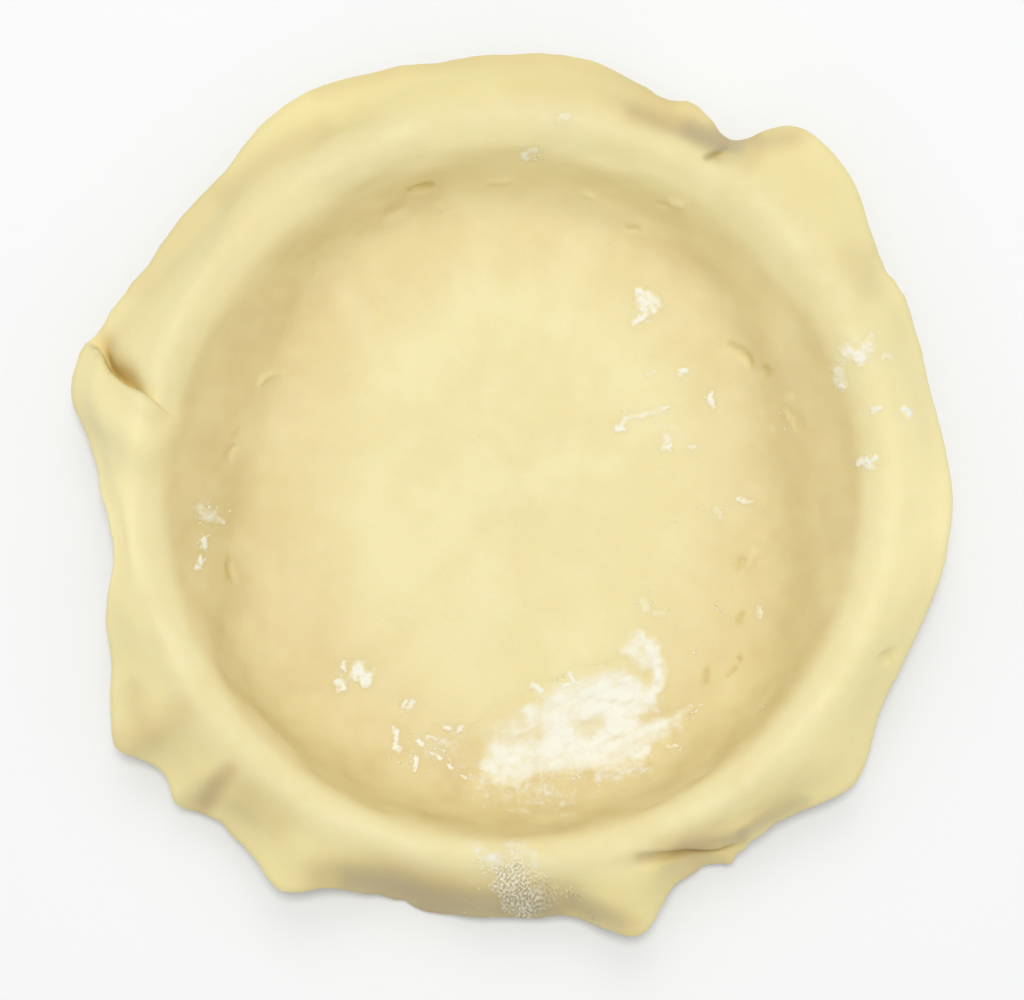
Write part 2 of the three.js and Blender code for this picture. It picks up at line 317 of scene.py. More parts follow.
# Control points of floor and wall in the slice at each angle: radii out from the foot, heights up the depth
def wallControls(deg, out):
    wall, floor, rim, inner = wallSlice, sheet["floorTop"], sheet["rimTop"], sheet["rimInner"]
    foot = sheet["foot"] - sheet["footSkew"] * np.sin(np.radians(deg))
    loose = 0.0
    for s in slacks:
        share = evenHump(deg, s["at"], s["spread"])
        foot = foot - s["inward"] * share
        loose = loose + share
    tight = evenHump(deg, taut["at"], taut["spread"])
    depth = rim - floor
    level = floor * np.ones_like(deg)
    low = floor + (wall["low"] - wall["lowSlack"] * loose) * depth
    high = floor + (wall["high"] - wall["highSlack"] * loose) * depth
    highOut = foot + (wall["highOut"] + wall["highOutSlack"] * loose) * (inner - foot)
    top = rim - wall["topDown"] + wall["topTaut"] * tight
    topOut = inner + wall["topOut"] + tight + wall["topBulge"] * out
    flat = [(share * foot, level) for share in wall["flatShares"]]
    return [(0 * foot, level), *flat, (foot - wall["flatEnds"], level),
            (foot - wall["roundsIn"], level + wall["roundsUp"]), (foot, low), (highOut, high), (topOut, top)]


# Control points of the hem in the slice at each angle: out by shares of its reach, down by shares of its
# fall; a short hem runs out evenly instead of turning down
def hemControls(deg, out):
    hem, rim, crest = hemSlice, sheet["rimTop"], sheet["rimCrest"]
    reach, fall, sag = hemShape(deg)
    ragged = raggedEdge(deg)
    short = smooth(hem["shortFrom"], hem["shortTo"], reach)
    start, span = hem["start"] + out, reach - hem["start"] - out
    turn = hem["turnOut"] + hem["turnReach"] * reach - sag + hem["turnBulge"] * out
    drop = hem["dropOut"] + (hem["dropReach"] - hem["dropSag"] * sag) * reach + hem["dropBulge"] * out
    skirt = hem["skirtOut"] + (hem["skirtReach"] - hem["skirtSag"] * sag) * reach
    turn = (1 - short) * turn + short * (start + hem["shortTurn"] * span)
    drop = (1 - short) * drop + short * (start + hem["shortDrop"] * span)
    skirt = (1 - short) * skirt + short * (start + hem["shortSkirt"] * span)
    return [
        (crest + start, (rim + hem["startUp"]) * np.ones_like(deg)),
        (crest + turn, rim - hem["turnFall"] * fall - hem["turnSink"] * sag + hem["shortUp"] * short),
        (crest + drop, rim - (hem["dropFall"] + hem["dropSink"] * sag) * fall),
        (crest + skirt + hem["skirtTorn"] * ragged, rim - (hem["skirtFall"] + hem["skirtSink"] * sag) * fall),
        (crest + reach + ragged, rim - fall),
    ]


# All control points of the sheet's upper face in the slice at each angle
def sheetControls(deg):
    out = sum(b["out"] * evenHump(deg, b["at"], b["spread"]) for b in bulges)
    return wallControls(deg, out) + hemControls(deg, out)


# Weights of a clamped cubic B-spline at places along the profile: each degree blends neighbours of the last
def splineWeights(place):
    count = profile["spans"] + 3
    knots = np.concatenate([[0] * 3, np.arange(count - 2), [profile["spans"]] * 3]).astype(float)
    u = np.clip(place, 0, profile["spans"] - 1e-9)
    parts = [((knots[i] <= u) & (u < knots[i + 1])).astype(float) for i in range(len(knots) - 1)]
    for degree in range(1, 4):
        wider = []
        for i in range(len(parts) - 1):
            rise, drop = knots[i + degree] - knots[i], knots[i + degree + 1] - knots[i + 1]
            up = (u - knots[i]) / rise * parts[i] if rise > 0 else 0 * u
            down = (knots[i + degree + 1] - u) / drop * parts[i + 1] if drop > 0 else 0 * u
            wider.append(up + down)
        parts = wider
    return parts


# Radius and height of the sheet's upper face: weighted sum of the slice's control points
def sheetProfile(deg, place):
    weights = splineWeights(place)
    controls = sheetControls(deg)
    radius = sum(w * c[0] for w, c in zip(weights, controls))
    height = sum(w * c[1] for w, c in zip(weights, controls))
    return radius, height


# How far down the hem a place lies: 0 at the rim, 1 at the cut edge
def hemRun(place):
    return np.clip(place - profile["rim"], -1, None) / (profile["spans"] - profile["rim"])


# Angle of a tuck's crease: straight from its start to its end, hooked near the cut edge
def creaseAngle(t, run):
    along = np.clip((run - t["start"]) / (t["end"] - t["start"]), 0, 1)
    hooked = t["hook"] * smooth(tuckStep["hookFrom"], 1.0, run)
    return t["startAt"] + (t["endAt"] - t["startAt"]) * along + hooked


# Lip that a tuck lifts, pocket that it sinks, and lean of the lip, by the angle from the tuck's crease
def tuckRelief(deg, place):
    run = hemRun(place)
    lip, pocket, lean = 0.0, 0.0, 0.0
    for t in tucks:
        d = degreesAway(deg, creaseAngle(t, run))
        kept = 1 - smooth(t["end"] - tuckStep["fades"], t["end"] + tuckStep["fadedBy"], run)
        over = smooth(-tuckStep["half"], tuckStep["half"], d)
        grown = kept * smooth(t["start"], t["start"] + tuckStep["lipGrows"], run)
        roll = np.sqrt(1 - (1 - np.clip(d / t["crest"], 0, 1)) ** 2)
        rolled = tuckStep["leastRoll"] + (1 - tuckStep["leastRoll"]) * roll
        tail = np.exp(-(np.clip(d - t["crest"], 0, None) / t["lipSpread"]) ** 2)
        lip = lip + grown * t["rise"] * over * rolled * tail
        sunk = kept * smooth(t["pocketFrom"], t["pocketFrom"] + tuckStep["pocketGrows"], run)
        hollow = np.exp(-(np.clip(d, None, 0) / t["pocketSpread"]) ** 2)
        pocket = pocket + sunk * t["deep"] * (1 - over) * hollow
        leaning = t["lean"] + t["hemLean"] * smooth(tuckStep["hemLeanFrom"], 1.0, run)
        lean = lean - grown * leaning * np.exp(-((d - tuckStep["leanAt"]) / tuckStep["leanSpread"]) ** 2)
    return lip, pocket, lean


# Point of the smooth sheet: the profile lifted by the tucks and turned to its angle
def sheetPoint(deg, place):
    radius, height = sheetProfile(deg, place)
    lip, pocket, lean = tuckRelief(deg, place)
    return roundPoints(radius, np.radians(deg + lean), height + lip - pocket)


# Outward normal of the smooth sheet: cross product of its slopes along the profile and round the rim
def sheetNormal(deg, place):
    placeStep, degStep = 0.02, 0.1
    alongIt = sheetPoint(deg, place + placeStep) - sheetPoint(deg, np.clip(place - placeStep, 0, None))
    roundIt = sheetPoint(deg + degStep, place) - sheetPoint(deg - degStep, place)
    normal = np.cross(alongIt, roundIt)
    return normal / np.maximum(np.linalg.norm(normal, axis=-1, keepdims=True), 1e-9)


# nicks and creases: picture pixel, length, width, depth (a ridge is negative) and bend in mm, and direction
nicks = [
    dict(at=(421, 188), length=7.5, width=1.1, deep=1.3, turn=14, bend=0.2),
    dict(at=(742, 352), length=11.0, width=1.3, deep=1.0, turn=-38, bend=-1.6),
    dict(at=(766, 372), length=4.0, width=1.8, deep=0.9, turn=-60),
    dict(at=(789, 419), length=7.5, width=1.0, deep=-0.8, turn=-56, bend=-0.5),
    dict(at=(796, 420), length=7.0, width=1.4, deep=0.7, turn=-56, bend=-0.5),
    dict(at=(786, 400), length=4.5, width=1.6, deep=-0.6, turn=25),
    dict(at=(742, 564), length=4.5, width=1.2, deep=1.0, turn=62),
    dict(at=(750, 560), length=8.0, width=1.7, deep=-0.9, turn=62),
    dict(at=(740, 618), length=4.5, width=1.0, deep=0.9, turn=60),
    dict(at=(706, 677), length=5.0, width=1.1, deep=1.0, turn=80),
    dict(at=(712, 676), length=5.0, width=1.5, deep=-0.6, turn=70),
    dict(at=(731, 671), length=5.5, width=1.0, deep=0.8, turn=48),
    dict(at=(739, 658), length=1.5, width=1.2, deep=1.0, turn=0),
    dict(at=(889, 657), length=4.0, width=2.6, deep=1.3, turn=-60),
    dict(at=(230, 572), length=8.0, width=1.1, deep=0.9, turn=-72, bend=0.5),
    dict(at=(232, 452), length=6.5, width=1.1, deep=0.8, turn=60, bend=-0.7),
    dict(at=(268, 376), length=8.5, width=1.0, deep=-0.7, turn=28, bend=-1.2),
    dict(at=(640, 766), length=9.0, width=1.0, deep=0.8, turn=18, bend=0.3),
    dict(at=(676, 205), length=6.5, width=1.3, deep=-0.7, turn=-12),
    dict(at=(662, 207), length=5.0, width=1.0, deep=0.6, turn=-5),
    dict(at=(498, 181), length=9.0, width=1.0, deep=-0.5, turn=4, bend=0.4),
    dict(at=(590, 197), length=5.0, width=1.0, deep=-0.5, turn=-18, bend=0.3),
    dict(at=(632, 229), length=5.5, width=1.0, deep=0.5, turn=0, bend=-0.3),
    dict(at=(441, 207), length=4.0, width=1.0, deep=-0.5, turn=-40),
    dict(at=(395, 212), length=10.0, width=1.8, deep=0.7, turn=25),
    dict(at=(560, 822), length=16.0, width=1.4, deep=0.7, turn=4, bend=0.8),
]
nickFade = (0.5, 1.15)     # shares of its half length at which a nick starts to fade and ends


# Height of the nicks at picture pixels: a soft groove across each one's bent line, fading at its ends
def nickRelief(px, py):
    total = np.zeros_like(px)
    for n in nicks:
        turn = math.radians(n["turn"])
        x = (px - n["at"][0]) * camera["mmPerPixel"]
        y = -(py - n["at"][1]) * camera["mmPerPixel"]
        along = (x * math.cos(turn) + y * math.sin(turn)) / (n["length"] / 2)
        across = y * math.cos(turn) - x * math.sin(turn) - n.get("bend", 0.0) * along ** 2
        total -= n["deep"] * np.exp(-(across / n["width"]) ** 2) * (1 - smooth(*nickFade, np.abs(along)))
    return total


# depth and size of each unevenness in mm, and the places along the profile where it comes in and goes
handled = dict(broad=0.42, broadSize=27.0, pressed=1.15, pressedSize=15.0, ruffled=0.6, ruffledSize=11.0,
               fine=0.14, fineSize=5.0, rimWave=0.7, rimWaveSize=34.0, seed=21,
               wallBand=(2.5, 3.4, 4.9, 5.7), rimBand=(4.9, 5.8, 7.0, 8.0), hemFrom=(7.0, 8.4),
               fineFrom=(1.6, 2.4), nicksEnd=(9.4, 9.9))


# Unevenness from handling: sum of broad noise, finger dents up the wall, a wavy rim, ruffles in the hem, fine
# dents and nicks
def handledRelief(points, place):
    seed = handled["seed"]
    wall, rim = band(place, *handled["wallBand"]), band(place, *handled["rimBand"])
    hem = smooth(*handled["hemFrom"], place)
    total = handled["broad"] * softNoise(points, handled["broadSize"], seed)
    total += wall * handled["pressed"] * softNoise(points, handled["pressedSize"], seed + 1)
    total += rim * handled["rimWave"] * softNoise(points, handled["rimWaveSize"], seed + 2)
    total += hem * handled["ruffled"] * softNoise(points, handled["ruffledSize"], seed + 3)
    fine = handled["fine"] * softNoise(points, handled["fineSize"], seed + 4)
    total += fine * smooth(*handled["fineFrom"], place)
    return total + nickRelief(*photoPixel(points)) * (1 - smooth(*handled["nicksEnd"], place))


# Finished upper face: the smooth sheet moved along its normal by the handling; also returns that normal
def sheetSurface(deg, place):
    points = sheetPoint(deg, place)
    normal = sheetNormal(deg, place)
    return points + normal * handledRelief(points, place + 0 * deg)[..., None], normal


# Lower face: the smooth profile moved by the thickness inside its slice, and sunk by the pockets
def sheetUnder(deg, place):
    step = 0.01
    radius, height = sheetProfile(deg, place)
    rHigh, zHigh = sheetProfile(deg, np.clip(place + step, 0, profile["spans"]))
    rLow, zLow = sheetProfile(deg, np.clip(place - step, 0, profile["spans"]))
    dr, dz = rHigh - rLow, zHigh - zLow
    length = np.hypot(dr, dz)
    _, pocket, _ = tuckRelief(deg, place)
    out = radius + sheet["thickness"] * dz / length
    low = height - sheet["thickness"] * dr / length - pocket
    return roundPoints(out, np.radians(deg), low)


# where the sheet's angles stand closer: round the tucks, and on the right, where most nicks are
crowding = dict(step=0.25, tucks=1.6, tuckSpread=10, right=0.9, rightSpread=42)


# Angles round the sheet: equal steps of a running sum of density
def sheetAngles():
    fine = np.arange(0, 360, crowding["step"])
    middles = [(t["startAt"] + t["endAt"]) / 2 for t in tucks]
    density = 1.0 + sum(crowding["tucks"] * evenHump(fine, at, crowding["tuckSpread"]) for at in middles)
    density = density + crowding["right"] * evenHump(fine, 0, crowding["rightSpread"])
    total = np.concatenate([[0], np.cumsum(density)])
    steps = np.arange(sheet["angles"]) * total[-1] / sheet["angles"]
    return np.interp(steps, total, np.append(fine, 360))


# Quads between neighbouring rings of a stack that closes on itself round the axis
def ringQuads(rings, count):
    at = np.arange(rings * count).reshape(rings, count)
    here, out = at[:-1], at[1:]
    return np.stack([here, out, np.roll(out, -1, 1), np.roll(here, -1, 1)], -1).reshape(-1, 4)


# Triangles that close a ring to one middle point
def fan(ring, middle, outward):
    nextRing = np.roll(ring, -1)
    first, second = (ring, nextRing) if outward else (nextRing, ring)
    return np.stack([np.full(len(ring), middle), first, second], -1)


# ring of painted shade up the wall, where the dough is also pressed thin: radii in mm, angles in degrees,
# shares from 0 to 1
thinShade = dict(starts=60.0, sooner=16.0, full=89.0, fades=101.0, ends=110.0, wallShare=0.47, out=9.0,
                spared=85, sparedSpread=80, sparedShare=0.5, deeper=268, deeperSpread=60, deeperShare=0.24,
                near=152, nearSpread=36, nearShare=0.7, steepFrom=14.0, steepTo=32.0, valleyShare=0.7,
                valleyFrom=(7.0, 9.0), mottle=0.3, mottleSize=9.0, fine=0.2, fineSize=3.6, seed=61)
# shares of the other marks, the painted light on the cut edge and the middle of the floor among them, places
# along the profile where they come in, and a stroke's rim in half widths
marking = dict(rim=1.25, edge=0.6, edgeFrom=(9.0, 9.8), floor=0.22, floorFrom=(2.9, 1.9), cracks=0.75,
               warm=0.7, warmFrom=(7.0, 8.6))

# stretches of painted shade on the dough, where folds, notches and steep hems lie in shade
shadeStrokes = [
    stroke(17, 0.3, (226, 196), (262, 160), (290, 142), (322, 128)),
    stroke(24, 0.2, (520, 92), (590, 90), (640, 110), (690, 128)),
    stroke(14, 0.6, (634, 113), (665, 120), (691, 129), (722, 143)),
    stroke(12, 0.34, (318, 92), (400, 70), (480, 60), (560, 60), (620, 76), (670, 102)),
    stroke(22, 0.26, (140, 284), (180, 228), (216, 186)),
    stroke(17, 0.45, (748, 160), (766, 142), (796, 136)),
    stroke(70, 0.12, (300, 300), (262, 420), (258, 540), (300, 640)),
    stroke(70, 0.08, (340, 630), (450, 650)),
    stroke(30, 0.14, (630, 225), (685, 265)),
    stroke(40, 0.1, (715, 410), (735, 500), (722, 570)),
    stroke(24, 0.45, (122, 744), (150, 736), (178, 712)),
    stroke(13, 0.75, (228, 772), (216, 786), (205, 804)),
    stroke(24, 0.3, (246, 795), (280, 822)),
    stroke(27, 0.6, (324, 878), (348, 873), (385, 874), (430, 893), (470, 898), (560, 898)),
    stroke(16, 0.55, (548, 902), (600, 912), (632, 926)),
    stroke(13, 0.42, (660, 846), (700, 838), (745, 822), (792, 802)),
    stroke(8, 0.6, (640, 857), (690, 850), (742, 839)),
    stroke(32, 0.3, (505, 872), (535, 902)),
    stroke(18, 0.35, (135, 690), (145, 725)),
    stroke(20, 0.22, (850, 255), (868, 290)),
    stroke(14, 0.5, (700, 135), (730, 142), (752, 138)),
    stroke(22, 0.25, (372, 222), (405, 204), (432, 196)),
    stroke(26, 0.14, (775, 385), (792, 425), (790, 480)),
    stroke(15, 0.5, (106, 340), (114, 354), (126, 368)),
    stroke(34, 0.12, (215, 270), (250, 215), (300, 165), (360, 130)),
]

# paler stretches: thicker dough and painted light; the smallest are painted light on raised flakes and ridges
paleLitStrokes = [
    stroke(46, 0.75, (855, 215), (900, 330), (915, 450), (905, 560), (870, 680), (835, 745)),
    stroke(30, 0.7, (110, 425), (116, 520), (116, 620), (124, 690)),
    stroke(26, 0.95, (84, 365), (86, 395), (108, 430), (140, 440)),
    stroke(20, 0.5, (104, 455), (112, 505)),
    stroke(22, 0.6, (918, 370), (940, 455), (938, 545)),
    stroke(28, 0.5, (846, 704), (860, 740)),
    stroke(40, 0.6, (225, 300), (262, 240), (300, 208)),
    stroke(22, 0.45, (440, 148), (520, 140)),
    stroke(24, 0.6, (560, 168), (640, 178), (695, 205)),
    stroke(26, 0.35, (215, 360), (235, 430)),
    stroke(15, 0.8, (150, 442), (168, 428), (180, 413)),
    stroke(34, 0.8, (262, 290), (330, 226), (430, 190), (540, 180), (640, 195), (720, 245), (772, 310)),
    stroke(4.5, 0.4, (738, 356), (745, 362), (749, 369)),
    stroke(5, 0.6, (781, 401), (790, 398)),
    stroke(4, 0.9, (785, 411), (790, 419), (795, 429)),
    stroke(3.5, 0.8, (762, 412), (763, 415)),
    stroke(3.5, 0.8, (772, 428), (773, 431)),
    stroke(6, 0.75, (743, 569), (748, 561), (755, 551)),
    stroke(3.5, 0.6, (759, 562), (766, 562)),
    stroke(4.5, 0.6, (711, 670), (711, 680)),
    stroke(4, 0.7, (410, 194), (418, 193)),
    stroke(3.5, 0.8, (440, 206), (446, 212)),
    stroke(4, 0.7, (480, 184), (490, 183)),
    stroke(4, 0.7, (507, 180), (516, 181)),
    stroke(3.5, 0.7, (587, 198), (592, 198), (596, 201)),
    stroke(4, 0.9, (667, 207), (680, 208)),
    stroke(5, 0.5, (682, 214), (697, 219)),
    stroke(4, 0.6, (259, 384), (267, 375), (283, 373)),
]

# painted grey shade where the hem hangs steeply, in the notch and in the folds
greyShadeStrokes = [
    stroke(20, 0.42, (352, 882), (392, 888), (430, 899), (480, 906), (545, 906)),
    stroke(10, 0.3, (420, 908), (480, 914), (560, 914)),
    stroke(14, 0.3, (572, 902), (600, 915), (616, 924)),
    stroke(15, 0.42, (690, 130), (712, 141), (734, 146)),
    stroke(12, 0.16, (760, 142), (790, 137)),
    stroke(12, 0.18, (220, 780), (212, 792), (206, 803)),
    stroke(10, 0.28, (745, 832), (775, 817), (805, 801)),
    stroke(8, 0.25, (684, 842), (715, 838), (742, 833)),
    stroke(9, 0.25, (676, 849), (692, 852), (706, 850)),
    stroke(5, 0.6, (707, 157), (716, 152), (724, 148)),
]

# painted shade in cracks and nicks of the dough
crackShadeStrokes = [
    stroke(5, 0.3, (730, 343), (740, 351), (748, 357), (753, 366)),
    stroke(5, 0.32, (766, 366), (767, 375)),
    stroke(4, 0.28, (790, 409), (794, 416), (798, 426)),
    stroke(4.5, 0.3, (740, 559), (739, 569)),
    stroke(3.6, 0.32, (738, 622), (740, 617), (743, 613)),
    stroke(3.6, 0.34, (707, 668), (706, 676), (705, 683)),
    stroke(3.4, 0.3, (727, 676), (735, 668)),
    stroke(2.8, 0.6, (739, 658), (741, 659)),
    stroke(3.6, 0.4, (408, 190), (420, 188), (426, 186), (434, 184)),
    stroke(5, 0.5, (422, 187), (430, 185)),
    stroke(3.2, 0.2, (628, 227), (637, 227)),
    stroke(3.2, 0.22, (232, 437), (238, 428)),
    stroke(4.6, 0.28, (228, 557), (228, 566), (227, 578)),
    stroke(5, 0.26, (889, 655), (892, 660)),
]


# Share of a set of strokes at points of the dough: their load at the points' pixels
def markLoad(points, strokes):
    return strokeLoad(*photoPixel(points), strokes, 0.0, marking["rim"])


# How far the dough is pressed thin and darkened by painted shade, 0 to 1: a ring up the wall that starts
# sooner at the sides and is weaker at the far side, painted shade in the hem's steep valleys, and the shaded
# stretches
def thinnedShadeDough(deg, place, points):
    radius = np.hypot(points[..., 0], points[..., 1])
    starts = thinShade["starts"] - thinShade["sooner"] * np.cos(np.radians(deg)) ** 2
    deeper = evenHump(deg, thinShade["deeper"], thinShade["deeperSpread"])
    spared = evenHump(deg, thinShade["spared"], thinShade["sparedSpread"])
    near = evenHump(deg, thinShade["near"], thinShade["nearSpread"])
    out = thinShade["out"] * (1 - spared) * (1 - thinShade["nearShare"] * near)
    fading = smooth(thinShade["fades"] + out, thinShade["ends"] + 0.5 * out, radius)
    ring = smooth(starts, thinShade["full"] + 0.5 * out, radius) * (1 - fading)
    uneven = 1 - thinShade["sparedShare"] * spared + thinShade["deeperShare"] * deeper
    mottled = thinShade["mottle"] * softNoise(points, thinShade["mottleSize"], thinShade["seed"])
    fine = thinShade["fine"] * softNoise(points, thinShade["fineSize"], thinShade["seed"] + 1)
    wall = thinShade["wallShare"] * ring * uneven * (1 + mottled + fine)
    _, fall, _ = hemShape(deg)
    steep = smooth(thinShade["steepFrom"], thinShade["steepTo"], fall)
    valley = thinShade["valleyShare"] * steep * smooth(*thinShade["valleyFrom"], place)
    return 1 - (1 - np.maximum(wall, valley)) * (1 - markLoad(points, shadeStrokes))


# Painted shade in a tuck's crease, 0 to 1: strongest at the crease, on its sunken side
def tuckShade(deg, place):
    run = hemRun(place)
    total = np.zeros(np.broadcast(deg, place).shape)
    for t in tucks:
        d = degreesAway(deg, creaseAngle(t, run))
        kept = band(run, t["shadeFrom"], t["shadeFrom"] + tuckStep["shadeGrows"],
                    t["shadeTo"] - tuckStep["shadeFades"], t["shadeTo"])
        spread = np.where(d < 0, t["shadeSpread"], tuckStep["shadeBehind"])
        total = np.maximum(total, t["shade"] * kept * np.exp(-(d / spread) ** 2))
    return total


# Marks that the dough's colour is mixed from, at points of the upper face; its cut edge and the middle of its
# floor get painted light
def doughMarks(deg, place, points):
    litEdge = marking["edge"] * smooth(*marking["edgeFrom"], place)
    litFloor = marking["floor"] * smooth(*marking["floorFrom"], place)
    paleLit = np.maximum(np.maximum(markLoad(points, paleLitStrokes), litEdge), litFloor)
    creaseShade = np.maximum(tuckShade(deg, place), marking["cracks"] * markLoad(points, crackShadeStrokes))
    warm = marking["warm"] * smooth(*marking["warmFrom"], place) * np.abs(np.sin(np.radians(deg)))
    return dict(thinnedShade=thinnedShadeDough(deg, place, points), creaseShade=creaseShade, paleLit=paleLit,
                greyShade=markLoad(points, greyShadeStrokes), warm=warm)


# Rounded cut edge: half an ellipse from the last ring of the upper face to the first ring of the lower one
def edgeNose(top, under):
    middle = (top[-1] + under[0]) / 2
    half = (top[-1] - under[0]) / 2
    outward = top[-1] - top[-2]
    outward /= np.linalg.norm(outward, axis=-1, keepdims=True)
    bulge = sheet["edgeBulge"] * sheet["thickness"]
    swing = np.linspace(0, np.pi, sheet["noseRows"] + 2)[1:-1]
    return np.array([middle + half * math.cos(s) + outward * bulge * math.sin(s) for s in swing])


# Places of the sheet's rings along its profile, on the upper face and back on the lower one
def sheetPlaces():
    first, footFrom, footTo = profile["firstRing"], profile["footFrom"], profile["footTo"]
    rim, edge = profile["rim"], profile["spans"]
    upper = [np.linspace(first, footFrom, sheet["floorRows"], endpoint=False),
             np.linspace(footFrom, footTo, sheet["footRows"], endpoint=False),
             np.linspace(footTo, rim, sheet["wallRows"], endpoint=False),
             np.linspace(rim, edge, sheet["rimRows"])]
    lower = [np.linspace(edge, rim, sheet["underRows"], endpoint=False),
             np.linspace(rim, profile["underEnds"], sheet["underWallRows"])]
    return np.concatenate(upper)[:, None], np.concatenate(lower)[:, None]


# Whole sheet: rings over the upper face, round the cut edge and back underneath
def makePastry():
    deg = sheetAngles()[None, :]
    places, underPlaces = sheetPlaces()
    top, _ = sheetSurface(deg, places)
    under = sheetUnder(deg, underPlaces)
    rings = np.concatenate([top, edgeNose(top, under), under])
    count = deg.shape[1]
    centre = [[0, 0, top[0, :, 2].mean()], [0, 0, sheet["floorTop"] - sheet["thickness"]]]
    points = np.concatenate([rings.reshape(-1, 3), centre])
    upperMiddle, lowerMiddle = len(points) - 2, len(points) - 1
    at = np.arange(len(rings) * count).reshape(len(rings), count)
    closing = np.concatenate([fan(at[0], upperMiddle, True), fan(at[-1], lowerMiddle, False)])
    made = meshFromArrays("pastry_sheet", points, ringQuads(len(rings), count), closing)
    marks = doughMarks(deg, places, top)
    marks["flour"] = flourVeil(*photoPixel(top))
    for name, values in marks.items():
        padded = np.zeros(len(points))
        padded[:values.size] = values.ravel()
        pointValue(made, name, padded)
    print("pastry sheet:", len(points), "points")
    return made


# Flour

# the main smear on the floor of the case
smearStrokes = [
    stroke(25, 0.52, (500, 738), (540, 722), (575, 704), (612, 696)),
    stroke(19, 0.55, (508, 762), (560, 750), (632, 744)),
    stroke(14, 0.36, (584, 682), (620, 676)),
    stroke(17, 0.75, (556, 704), (560, 726), (562, 742)),
    stroke(14, 0.5, (558, 700), (590, 700)),
    stroke(17, 0.48, (586, 706), (590, 730), (600, 740)),
    stroke(17, 0.92, (606, 702), (626, 700)),
    stroke(14, 0.85, (610, 708), (615, 722)),
    stroke(10, 0.7, (618, 722), (630, 735)),
    stroke(12, 0.65, (600, 690), (626, 681)),
    stroke(13, 0.5, (636, 692), (642, 704), (636, 722)),
    stroke(13, 0.6, (548, 750), (575, 751), (598, 750)),
    stroke(7, 0.6, (530, 710), (532, 720)),
    stroke(6, 0.7, (636, 757), (645, 751)),
    stroke(10, 0.5, (488, 764), (498, 756), (514, 752)),
    stroke(10, 0.55, (490, 768), (502, 778), (518, 776)),
    stroke(8, 0.42, (524, 770), (560, 767), (610, 763), (634, 757)),
    stroke(10, 0.62, (628, 731), (645, 730), (662, 726)),
    stroke(9, 0.45, (664, 724), (680, 722)),
    stroke(5, 0.35, (678, 716), (688, 709)),
    stroke(10, 0.32, (640, 741), (662, 738)),
    stroke(8.5, 0.85, (641, 639), (648, 642), (654, 652), (658, 664), (659, 676), (656, 688), (650, 700)),
    stroke(11, 0.55, (634, 641), (635, 652), (643, 662)),
    stroke(6, 0.4, (623, 652), (630, 650)),
    stroke(10, 0.35, (638, 686), (648, 694)),
]
# dabs of flour, one patch for each stroke
dabStrokes = [
    stroke(7.5, 0.9, (641, 296), (649, 300), (652, 309)),
    stroke(7, 0.85, (640, 299), (643, 307)),
    stroke(4.5, 0.75, (646, 312), (640, 318), (635, 321)),
    stroke(3.8, 0.9, (680, 375), (686, 371)),
    stroke(3.2, 0.55, (648, 375), (655, 371)),
    stroke(3.6, 0.95, (710, 395), (712, 406)),
    stroke(4.2, 0.7, (625, 419), (621, 426)),
    stroke(3.2, 0.85, (617, 428), (623, 429)),
    stroke(3.2, 0.55, (630, 416), (642, 416), (652, 412), (668, 407)),
    stroke(4.2, 0.55, (664, 435), (669, 440)),
    stroke(5, 0.75, (665, 446), (669, 448)),
    stroke(3, 0.65, (690, 448), (695, 447)),
    stroke(8.5, 0.62, (848, 352), (858, 356), (868, 350)),
    stroke(6, 0.85, (856, 356), (859, 359)),
    stroke(5, 0.5, (866, 350), (871, 338)),
    stroke(6.5, 0.45, (838, 368), (837, 380), (843, 386)),
    stroke(3.4, 0.8, (841, 385), (843, 388)),
    stroke(4, 0.5, (886, 356), (890, 357)),
    stroke(3.6, 0.65, (873, 410), (880, 407)),
    stroke(4.6, 0.85, (906, 411), (908, 416)),
    stroke(4.2, 0.8, (859, 464), (866, 461), (874, 459)),
    stroke(4.2, 0.6, (868, 464), (873, 468)),
    stroke(8.2, 1, (360, 668), (365, 673)),
    stroke(6.6, 0.95, (362, 678), (364, 682)),
    stroke(3.2, 0.85, (343, 664), (344, 668)),
    stroke(3.4, 0.75, (336, 684), (339, 680), (344, 684), (343, 690), (337, 690)),
    stroke(2.2, 0.7, (402, 708), (406, 701)),
    stroke(3, 0.8, (408, 709), (413, 702)),
    stroke(3.8, 0.9, (395, 730), (397, 737)),
    stroke(4, 0.9, (396, 746), (399, 750)),
    stroke(2.6, 0.85, (418, 741), (422, 745)),
    stroke(2.2, 0.8, (427, 738), (431, 736), (435, 740)),
    stroke(2.8, 0.8, (445, 727), (448, 729)),
    stroke(2.4, 0.7, (458, 731), (463, 727)),
    stroke(2.5, 0.8, (432, 753), (436, 755), (442, 759)),
    stroke(3.6, 0.95, (416, 759), (415, 767), (414, 770)),
    stroke(2.2, 0.75, (449, 765), (451, 768)),
    stroke(2.4, 0.75, (462, 776), (465, 778)),
    stroke(3.6, 0.9, (206, 537), (205, 547)),
    stroke(3.6, 0.95, (202, 557), (200, 567)),
    stroke(5, 0.5, (196, 507), (204, 512)),
    stroke(5, 0.6, (204, 518), (213, 516), (222, 522)),
    stroke(3.2, 0.7, (738, 498), (746, 502), (752, 502)),
    stroke(4, 0.5, (716, 508), (720, 514)),
    stroke(4, 0.45, (643, 600), (647, 608)),
    stroke(3, 0.45, (654, 614), (663, 615)),
    stroke(3, 0.6, (760, 607), (760, 618)),
    stroke(4.6, 0.85, (532, 685), (537, 687), (541, 691)),
    stroke(4.6, 0.7, (525, 156), (532, 153)),
    stroke(4.6, 0.5, (559, 118), (567, 116)),
    stroke(3.6, 0.85, (570, 674), (573, 681)),
    stroke(4.2, 0.75, (560, 686), (568, 683), (582, 681)),
    stroke(3.6, 0.6, (684, 714), (690, 708)),
    stroke(2.6, 0.55, (668, 746), (676, 746)),
]
